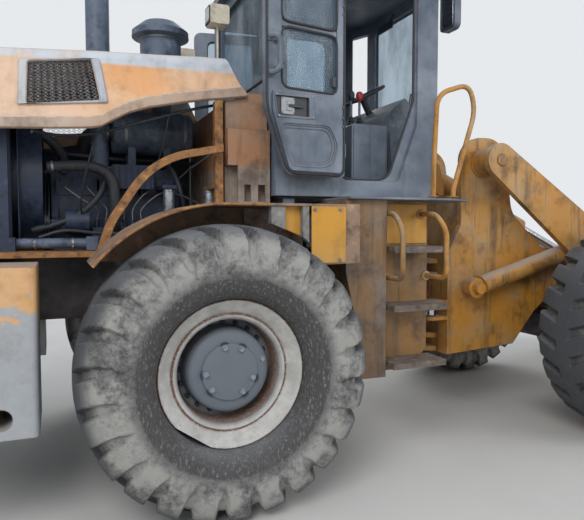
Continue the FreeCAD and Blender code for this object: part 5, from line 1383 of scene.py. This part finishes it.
# %%
WALL, REBATE_DEEP = 0.750, 0.018
REBATE = [(0.908, 1.896), (1.362, 1.896), (1.508, 2.294), (1.508, 3.294), (0.908, 3.294)]
packed = nodes["cab_shell"]
cab_form = outwards(shape("cab_form", [packed.matrix_world @ v.co for v in packed.data.vertices],
                          [tuple(face.vertices) for face in packed.data.polygons]), merge=0.0001)
steps = [panel(f"rebate_{k}", rounded(REBATE, 0.03), lambda u, off, v: ahead(u, side * off, v),
               WALL - REBATE_DEEP, WALL + 0.03, 0.0)
         for k, side in enumerate((1, -1))]
settle(carved(cab_form, *steps), slate, "rear", "cab_paint", "cab_shell")
print("cab triangles", sum(len(p.vertices) - 2 for p in cab_form.data.polygons))

# %% [markdown]
# ## Seals round the cab's openings
# Rubber profiles are pressed over the sheet's edge all round the doorway and the windows. Each is a tube that
# follows the outline of its opening.

# %%
DOORWAY = [(0.914, 1.899), (1.290, 1.899), (1.495, 2.460), (1.495, 3.285), (0.914, 3.285)]
for side, label in ((1, "left"), (-1, "right")):
    def on_wall(u, off, v):
        return ahead(u, side * (0.750 + off), v)

    openings = [("doorway", DOORWAY, 0.10, 0.011, -0.030),
                ("side_window", [(0.52, 2.38), (0.86, 2.38), (0.86, 3.285), (0.52, 3.285)], 0.05, 0.009,
                 0.001)]
    for name, outline, radius, thick, off in openings:
        loop = round_trip(outline, on_wall, off, radius)
        settle(swept(f"{name}_seal_{label}", loop, thick, 8, closed=True), hose_rubber, "rear",
               "black_plastic")
for name, x, outline in (("windscreen", 1.829,
                          [(-0.355, 2.060), (0.355, 2.060), (0.355, 3.300), (-0.355, 3.300)]),
                         ("rear_window", 0.448,
                          [(-0.600, 2.560), (0.600, 2.560), (0.600, 3.285), (-0.600, 3.285)])):
    loop = round_trip(outline, lambda u, off, v: ahead(x + off, u, v), 0.0, 0.05)
    settle(swept(name + "_seal", loop, 0.010, 8, closed=True), hose_rubber, "rear", "black_plastic")
wiper = [(1.834, 0.05, 2.075), (1.842, 0.05, 2.10), (1.842, -0.10, 2.45), (1.838, -0.16, 2.58)]
settle(swept("wiper_arm", flowing([ahead(*p) for p in wiper], 0.03), 0.006, 8), black_plastic, "rear",
       "black_plastic")
settle(swept("wiper_blade", [ahead(1.836, -0.08, 2.36), ahead(1.836, -0.17, 2.66)], 0.007, 8), hose_rubber,
       "rear", "black_plastic")

# %% [markdown]
# ## The seat
# The seat has a pressed steel box, a cushion and a back. Both pads are foam under vinyl: fullest in the
# middle, pulled in along the stitched channels and held by a piped edge. The pad is a block with rounded ends
# whose faces are pushed out by a rule.

# %%
def pad_form(name, size, place, bulge, channels):
    """A foam pad of a given size; place(x, y, z) puts its middle, and channels are stitched across it."""
    form = bmesh.new()
    bmesh.ops.create_cube(form, size=1)
    bmesh.ops.subdivide_edges(form, edges=form.edges, cuts=23, use_grid_fill=True)
    for corner in form.verts:
        x, y, z = (2 * c for c in corner.co)
        # the corners are drawn in as on a superellipsoid
        pull = (abs(x) ** 6 + abs(y) ** 6 + abs(z) ** 6) ** (1 / 6) or 1
        x, y, z = x / pull, y / pull, z / pull
        full = (1 - x * x) * (1 - y * y)
        groove = sum(math.exp(-((y - c) / 0.045) ** 2) for c in channels) * (1 - x ** 8)
        lift = z * (1 + (bulge * full - 0.012 * groove) / size[2] * 2)
        corner.co = place(x * size[0] / 2, y * size[1] / 2, lift * size[2] / 2)
    data = bpy.data.meshes.new(name)
    form.to_mesh(data)
    form.free()
    piece = bpy.data.objects.new(name, data)
    bpy.context.scene.collection.objects.link(piece)
    return outwards(piece)


seat_low, seat_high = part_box("seat")
deck = seat_low.z
cushion_middle = Vector(((seat_low.x + seat_high.x) / 2 + 0.020, 0, deck + 0.272))
cushion = pad_form("seat_cushion", (0.450, 0.480, 0.110), lambda x, y, z: cushion_middle + Vector((x, y, z)),
                   0.022, (-0.5, 0, 0.5))
LEAN = math.atan2(0.070, 0.600)
back_middle = ahead(0.675, 0, deck + 0.615)


def on_back(x, y, z):
    """The back pad is drawn lying down, then raised to its lean."""
    up = Vector((-math.sin(LEAN), 0, math.cos(LEAN)))
    front = Vector((math.cos(LEAN), 0, math.sin(LEAN)))
    return back_middle + up * x + Vector((0, y, 0)) + front * z


back_pad = pad_form("seat_back", (0.560, 0.460, 0.100), on_back, 0.018, (-0.5, 0, 0.5))
base = panel("seat_box", oblong(0.705, 1.035, -0.165, 0.165, 0.02), lambda u, off,
             v: ahead(u, v, deck + off), 0.0, 0.220, 0.01)
shell = panel("seat_pan", oblong(0.650, 1.095, -0.235, 0.235, 0.03), lambda u, off,
              v: ahead(u, v, deck + off), 0.203, 0.222, 0.004)
for pad in (cushion, back_pad):
    settle(pad, vinyl, "rear", "black_plastic", "seat")
for part in (base, shell):
    settle(part, black_plastic, "rear", "black_plastic", "seat")
piping = [cushion_middle + Vector((0.222 * math.copysign(abs(math.cos(a)) ** 0.35, math.cos(a)),
                                   0.237 * math.copysign(abs(math.sin(a)) ** 0.35, math.sin(a)), 0.030))
          for a in (math.tau * k / 72 for k in range(72))]
settle(swept("cushion_piping", piping, 0.004, 8, closed=True), vinyl, "rear", "black_plastic")
print("seat deck", round(deck, 3))

# %% [markdown]
# ## Wheel, dash and levers
# The steering wheel is a steel ring in hard rubber on three spokes, raked towards the driver. Beside the seat
# stands a console whose levers work the boom and the bucket: one has a black knob and the other a red one.

# %%
WHEEL_MIDDLE, WHEEL_RAKE = ahead(1.480, 0, 2.640), math.radians(28)
wheel_up = Vector((-math.sin(WHEEL_RAKE), 0, math.cos(WHEEL_RAKE)))
wheel_ahead = Vector((math.cos(WHEEL_RAKE), 0, math.sin(WHEEL_RAKE)))


def on_wheel(angle, radius, lift=0.0):
    spoke = math.cos(angle) * wheel_ahead + math.sin(angle) * Vector((0, 1, 0))
    return WHEEL_MIDDLE + radius * spoke + lift * wheel_up


ring = swept("steering_wheel", [on_wheel(math.tau * k / 56, 0.190) for k in range(56)], 0.0135, 12,
             closed=True)
spokes = [swept(f"spoke_{k}", [on_wheel(a, 0.030, -0.012), on_wheel(a, 0.100, -0.014), on_wheel(a, 0.187)],
                0.009, 10)
          for k, a in enumerate((math.radians(90), math.radians(210), math.radians(330)))]
hub = swept("wheel_hub", [WHEEL_MIDDLE + h * wheel_up for h in (-0.040, -0.039, 0.004, 0.010, 0.012)],
            [0.028, 0.040, 0.040, 0.032, 0.010], 28)
column = swept("column", [WHEEL_MIDDLE - 0.038 * wheel_up, WHEEL_MIDDLE - 0.200 * wheel_up], 0.028, 20)
settle(joined("steering_wheel", ring, *spokes, hub, column), black_plastic, "rear", "black_plastic", "dash")
DASH = [(1.510, deck), (1.700, deck), (1.700, 2.430), (1.600, 2.560), (1.460, 2.430)]
dash_form = panel("dash_panel", rounded(DASH, 0.035), lambda u, off, v: ahead(u, off, v), -0.450, 0.450,
                  0.006)
settle(dash_form, grey_plastic, "rear", "black_plastic", "dash")
console_face = [("console_lid_rear", 1.138, 1.268), ("console_lid_front", 1.280, 1.408)]
for name, x0, x1 in console_face:
    settle(panel(name, oblong(x0, x1, deck + 0.02, 2.310, 0.015), lambda u, off,
                 v: ahead(u, -0.500 - off, v), -0.001, 0.005, 0.002),
           slate, "rear", "black_plastic")
for k, (x, finish) in enumerate(((1.170, black_plastic), (1.240, knob_red))):
    foot = ahead(x, -0.400, 2.326)
    spun(f"lever_boot_{k}", foot, [(0, 0.034), (0.012, 0.034), (0.020, 0.022), (0.032, 0.026),
                                   (0.044, 0.016), (0.054, 0.018),
                                   (0.066, 0.011)], hose_rubber, "rear", "black_plastic", 20)
    knob = [(0.180, 0.010), (0.186, 0.020), (0.200, 0.0265), (0.222, 0.028), (0.240, 0.024), (0.250, 0.014),
            (0.253, 0.004)]
    spun(f"lever_knob_{k}", foot, knob, finish, "rear", "black_plastic", 22)
mirror_inside = panel("mirror_inside", oblong(-0.11, 0.11, 3.190, 3.250, 0.02), lambda u, off,
                      v: ahead(1.700 - off, u, v), 0.0, 0.014, 0.003)
settle(mirror_inside, black_plastic, "rear", "black_plastic")
settle(swept("mirror_stem", [ahead(1.700, 0, 3.220), ahead(1.775, 0, 3.340)], 0.006, 8), black_plastic,
       "rear", "black_plastic")

# %% [markdown]
# ## Fan shroud, air duct and heat shield
# A shroud makes the fan draw its air through the radiator and not from the side. The intake duct takes clean
# air from the drum to the turbine. On the exhaust side a thin sheet keeps the heat away from the hood. Its
# dark colour, the engine iron's painted shade, also closes the far side of the bay.

# %%
FAN_HEIGHT, SHROUD_RADIUS = 1.880, 0.430
SHROUD_BACK, SHROUD_FRONT = -1.060, -0.925


def hoop(name, x0, x1, radius, wall):
    """A ring about the fan's axle."""
    corners = []
    for k in range(48):
        angle = math.tau * k / 48
        for x, r in ((x0, radius), (x1, radius), (x1, radius - wall), (x0, radius - wall)):
            corners.append(ahead(x, r * math.sin(angle), FAN_HEIGHT + r * math.cos(angle)))
    faces = [(4 * k + s, 4 * k + (s + 1) % 4, 4 * ((k + 1) % 48) + (s + 1) % 4, 4 * ((k + 1) % 48) + s)
             for k in range(48) for s in range(4)]
    return outwards(shape(name, corners, faces))


plate_line = oblong(-0.470, 0.470, 1.460, 2.330, 0.05)
shroud_plate = panel("shroud_plate", plate_line, lambda u, off, v: ahead(SHROUD_BACK + off, u, v), 0.0,
                     0.006, 0.002)
mouth = [(0.424 * math.sin(math.tau * k / 48),
          FAN_HEIGHT + 0.424 * math.cos(math.tau * k / 48)) for k in range(48)]
mouth_cut = panel("mouth", mouth, lambda u, off, v: ahead(SHROUD_BACK + off, u, v), -0.05, 0.05, 0.0)
settle(carved(shroud_plate, mouth_cut), oily_iron_and_painted_shade, "rear", "dark_iron")
settle(hoop("fan_shroud", SHROUD_BACK + 0.004, SHROUD_FRONT, SHROUD_RADIUS, 0.006), oily_iron_and_painted_shade, "rear",
       "dark_iron")
duct = flowing([ahead(*p) for p in ((-0.470, 0.02, 2.240), (-0.560, 0.03, 2.235), (-0.640, 0.09, 2.180),
                                    (-0.655, 0.17, 2.060),
                                    (-0.625, 0.22, 1.950), (-0.600, 0.235, 1.900))], 0.02)
settle(swept("air_duct", duct, 0.062, 22), hose_rubber, "rear", "dark_iron")
clamped("air_duct_clamps", duct, 0.062, (0.06, 0.90))
# painted shade: this dark sheet spans the far side of the bay, so the bay reads as shaded there
shield_line = [(-0.940, 1.500), (0.145, 1.500), (0.145, 2.330), (-0.330, 2.270), (-0.940, 2.140)]
shield = panel("heat_shield", rounded(shield_line, 0.04), lambda u, off, v: ahead(u, 0.400 + off, v), 0.0,
               0.003, 0.001)
settle(shield, oily_iron_and_painted_shade, "rear", "dark_iron")
for k, x in enumerate((-0.70, -0.20)):
    arm = [ahead(x, 0.401, 1.60), ahead(x, 0.33, 1.585), ahead(x, 0.15, 1.58)]
    settle(swept(f"shield_arm_{k}", flowing(arm, 0.03), 0.012, 8), oily_iron_and_painted_shade, "rear", "dark_iron")
shield_bolts = [ahead(x, 0.404, z) for x in (-0.85, -0.70, -0.45, -0.20, 0.04) for z in (1.54, 2.06)]
bolted("shield_bolts", shield_bolts, (0, 1, 0), 0.019, zinc, "rear")
LOOMS = [  # radius and points of the darker lines that cross the bay
    (0.014, [(-1.00, 0.10, 2.12), (-0.85, 0.02, 2.08), (-0.60, -0.03, 2.06), (-0.35, 0.02, 2.05),
             (-0.10, 0.05, 2.06), (0.12, 0.10, 2.05)]),
    (0.020, [(-0.99, -0.33, 1.56), (-0.85, -0.36, 1.60), (-0.72, -0.37, 1.66), (-0.60, -0.36, 1.78),
             (-0.55, -0.33, 1.90)]),
    (0.011, [(-0.95, -0.50, 1.52), (-0.80, -0.52, 1.56), (-0.55, -0.50, 1.54), (-0.25, -0.50, 1.56),
             (0.05, -0.52, 1.52)]),
]
for k, (radius, points) in enumerate(LOOMS):
    settle(swept(f"bay_line_{k}", flowing([ahead(*p) for p in points], 0.02), radius, 12), hose_rubber,
           "rear", "dark_iron")

# %% [markdown]
# ## The covers behind the rear wheels
# A yellow cover closes the valve box under the cab, held by one screw. Beside it stand two channel posts with
# a sunk yellow sheet between them. A strip with bare primer lies under the bulkhead.

# %%
COVER_FACE = 1.2305
UPPER_BOX = oblong(1.100, 1.492, 1.470, 1.735, 0.012)
FENDER_EDGE = [(0.905 * math.cos(math.radians(a)),
                axle_height + 0.905 * math.sin(math.radians(a))) for a in range(140, 88, -5)]
FENDER_EDGE += [(0.15, FENDER_EDGE[-1][1]), (0.245, FENDER_EDGE[-1][1])]
for side, label in ((1, "left"), (-1, "right")):
    def on_flank(u, off, v):
        return ahead(u, side * (COVER_FACE + off), v)

    def on_recess(u, off, v):
        return ahead(u, side * (0.9003 + off), v)

    def on_skirt(u, off, v):
        return ahead(u, side * (0.778 + off), v)

    cover = panel("valve_cover_" + label, oblong(0.486, 0.706, 1.374, 1.700, 0.012), on_flank, 0.0, 0.004,
                  0.0015)
    settle(cover, clean_yellow, "rear", "frame_paint")
    bolted("valve_cover_screws_" + label,
           [on_flank(0.668, 0.004, 1.392), on_flank(0.668, 0.004, 1.682), on_flank(0.508, 0.004, 1.682)],
           (0, side, 0), 0.015, grey_steel, "rear", "dark_iron", 12)
    for k, (x0, x1, foot, off) in enumerate(((0.249, 0.336, 1.600, -0.012), (0.437, 0.478, 1.525, -0.006))):
        post = panel(f"channel_post_{k}_{label}", [(x0, foot), (x1, foot - 0.035), (x1, 1.702), (x0, 1.702)],
                     on_flank, off - 0.05, off, 0.003)
        settle(post, grey_steel, "rear", "dark_iron")
    sunk = panel("sunk_sheet_" + label, [(0.330, 1.575), (0.440, 1.530), (0.440, 1.702), (0.330, 1.702)],
                 on_flank, -0.052, -0.048, 0.001)
    settle(sunk, clean_yellow, "rear", "frame_paint")
    upper_line = [(x, z) for x, z in UPPER_BOX]
    settle(panel("upper_box_" + label, upper_line, on_recess, 0.0, 0.003, 0.0015), clean_yellow, "rear",
           "frame_paint")
    edge_line = [on_flank(x, -0.002, z) for x, z in FENDER_EDGE]
    settle(swept("fender_edge_" + label, flowing(edge_line, 0.03), 0.0075, 8), rusty, "rear", "dark_iron")
    strip_line = [(0.225, 1.44), (0.440, 1.44), (0.440, 1.698), (0.225, 1.698)]
    settle(panel("primer_strip_" + label, strip_line, on_skirt, 0.0, 0.004, 0.001), primer, "rear",
           "dark_iron")

# %% [markdown]
# ## Hand rails
# Hand rails are steel tube bent over a former, so every corner is an arc of the same radius. `bent` puts an
# arc at each corner of a line. A welded flange or foot plate carries each end.

# %%
RAIL_RADIUS = 0.017
platform_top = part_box("cab_platform")[1].z


def bent(points, radius, steps=7):
    """A line with an arc at each of its inner corners."""
    points = [Vector(p) for p in points]
    line = [points[0]]
    for before, corner, after in zip(points, points[1:], points[2:]):
        arms = [before - corner, after - corner]
        cut = min(radius, *(0.48 * arm.length for arm in arms))
        start, end = (corner + arm.normalized() * cut for arm in arms)
        for t in np.linspace(0, 1, steps):
            line.append((1 - t) ** 2 * start + 2 * t * (1 - t) * corner + t * t * end)
    return line + [points[-1]]


GRIP_FOOT = 0.9003
RAILS = {
    "door_loop": [(1.510, 0.950, platform_top + 0.001), (1.510, 0.950, 1.960), (1.532, 0.950, 2.474),
                  (1.792, 0.950, 2.560),
                  (1.846, 0.950, 2.386), (1.672, 0.950, 1.840), (1.672, 0.950, platform_top + 0.001)],
    "grip_rear": [(1.130, GRIP_FOOT, 1.668), (1.130, 1.080, 1.668), (1.160, 1.130, 1.560),
                  (1.160, 1.130, 1.250), (1.160, GRIP_FOOT, 1.250)],
    "grip_front": [(1.440, GRIP_FOOT, 1.668), (1.440, 1.080, 1.668), (1.490, 1.130, 1.560),
                   (1.490, 1.130, 1.250), (1.490, GRIP_FOOT, 1.250)],
}
for side, label in ((1, "left"), (-1, "right")):
    for name, points in RAILS.items():
        reach = 0.10 if name == "door_loop" else 0.06
        line = bent([ahead(x, side * y, z) for x, y, z in points], reach)
        settle(swept(f"{name}_{label}", line, RAIL_RADIUS, 16), loader_yellow, "rear", "frame_paint",
               "hand_rails")
        for k, end in enumerate((points[0], points[-1])):
            axis = (0, 0, 1) if name == "door_loop" else (0, side, 0)
            foot = [(0.0, 0.034), (0.006, 0.034), (0.007, 0.032), (0.009, 0.020)]
            spun(f"{name}_foot_{k}_{label}", ahead(end[0], side * end[1], end[2]), foot, loader_yellow,
                 "rear", "frame_paint", 20, axis)

# %% [markdown]
# ## Lamps and mirrors
# A working lamp is a moulded box with a clear lens in a rubber bezel. The mirrors are silvered glass in a
# steel shell, seen from the driver's seat.

# %%
for side, label in ((1, "left"), (-1, "right")):
    def on_lamp(u, off, v):
        return ahead(0.080 - off, side * 0.500 + u, 2.940 + v)

    def on_mirror(u, off, v):
        return ahead(1.610 - off, side * 0.940 + u, 3.035 + v)

    settle(panel("lamp_bezel_" + label, oblong(-0.060, 0.060, -0.055, 0.055, 0.02), on_lamp, -0.001, 0.006,
                 0.002), black_plastic,
           "rear", "black_plastic")
    settle(panel("lamp_lens_" + label, oblong(-0.048, 0.048, -0.043, 0.043, 0.015), on_lamp, 0.005, 0.009,
                 0.002), silver,
           "rear", "window_glass")
    settle(panel("mirror_rim_" + label, oblong(-0.074, 0.074, -0.128, 0.128, 0.02), on_mirror, -0.001, 0.004,
                 0.002), black_plastic,
           "rear", "black_plastic")
    settle(panel("mirror_glass_" + label, oblong(-0.066, 0.066, -0.120, 0.120, 0.016), on_mirror, 0.003,
                 0.006, 0.001), chrome,
           "rear", "window_glass")

# %% [markdown]
# ## Floor, light and camera
# A pale floor and a pale sky stand in for the yard. The light is broad and soft, as under cloud, so the shade
# in the engine bay comes from the machine itself and from the painted shade in the engine iron's colour. The
# camera
# stands where the photographer stood: beside the tail, at chest height, looking 22 degrees ahead of square.

# %%
floor_data = bpy.data.meshes.new("floor")
reach = 40.0
floor_data.from_pydata([(-reach, -reach, 0), (reach, -reach, 0), (reach, reach, 0), (-reach, reach, 0)], [],
                       [(0, 1, 2, 3)])
floor = bpy.data.objects.new("floor", floor_data)
bpy.context.scene.collection.objects.link(floor)
floor_finish, tree, shader, place = new_finish("pale_concrete")
tree.links.new(blended(tree, noise(tree, place, 0.8, 8), tint("c9c8c4"), tint("dad9d5")),
               shader.inputs["Base Color"])
shader.inputs["Roughness"].default_value = 0.85
floor_data.materials.append(floor_finish)

world = bpy.data.worlds.new("pale_sky")
bpy.context.scene.world = world
world.use_nodes = True
tree = world.node_tree
tree.nodes.clear()
rays = add(tree, "ShaderNodeLightPath").outputs
shown = sums(tree, "MAXIMUM", rays["Is Camera Ray"], sums(tree, "MAXIMUM", rays["Is Glossy Ray"],
                                                         rays["Is Transmission Ray"]))
sky = add(tree, "ShaderNodeBackground", {"Color": tint("dfe6ee"), "Strength": 0.62}).outputs[0]
backdrop = add(tree, "ShaderNodeBackground", {"Color": tint("eceff2"), "Strength": 0.95}).outputs[0]
mixed = add(tree, "ShaderNodeMixShader", {0: shown, 1: sky, 2: backdrop}).outputs[0]
add(tree, "ShaderNodeOutputWorld", {"Surface": mixed})

LAMPS = [  # name, place, aimed at, size, watts
    ("key", (-6.5, -8.0, 7.5), (-0.5, 0.0, 1.2), 6.0, 620),
    ("fill", (6.0, -7.0, 4.5), (0.5, 0.0, 1.2), 6.0, 260),
    ("back", (2.0, 9.0, 7.0), (0.0, 0.0, 1.5), 7.0, 380),
]
for name, spot, aim, size, watts in LAMPS:
    light = bpy.data.lights.new(name, "AREA")
    light.shape = "DISK"
    light.size = size
    light.energy = watts
    lamp = bpy.data.objects.new(name, light)
    lamp.location = spot
    lamp.rotation_euler = (Vector(aim) - Vector(spot)).to_track_quat("-Z", "Y").to_euler()
    bpy.context.scene.collection.objects.link(lamp)

# %%
CAMERA_PLACE = (-2.885, -4.27, 1.58)
CAMERA_YAW, CAMERA_PITCH = math.radians(22), math.radians(-3.2)
LENS_IN_PIXELS, PHOTO_WIDTH = 585, 584
lens = bpy.data.cameras.new("camera")
lens.sensor_width = 36
lens.lens = lens.sensor_width * LENS_IN_PIXELS / PHOTO_WIDTH
lens.clip_start = 0.05
camera = bpy.data.objects.new("camera", lens)
camera.location = CAMERA_PLACE
look = Vector((math.sin(CAMERA_YAW) * math.cos(CAMERA_PITCH), math.cos(CAMERA_YAW) * math.cos(CAMERA_PITCH),
               math.sin(CAMERA_PITCH)))
camera.rotation_euler = look.to_track_quat("-Z", "Y").to_euler()
bpy.context.scene.collection.objects.link(camera)
bpy.context.scene.camera = camera
bpy.context.scene.view_settings.view_transform = "Standard"
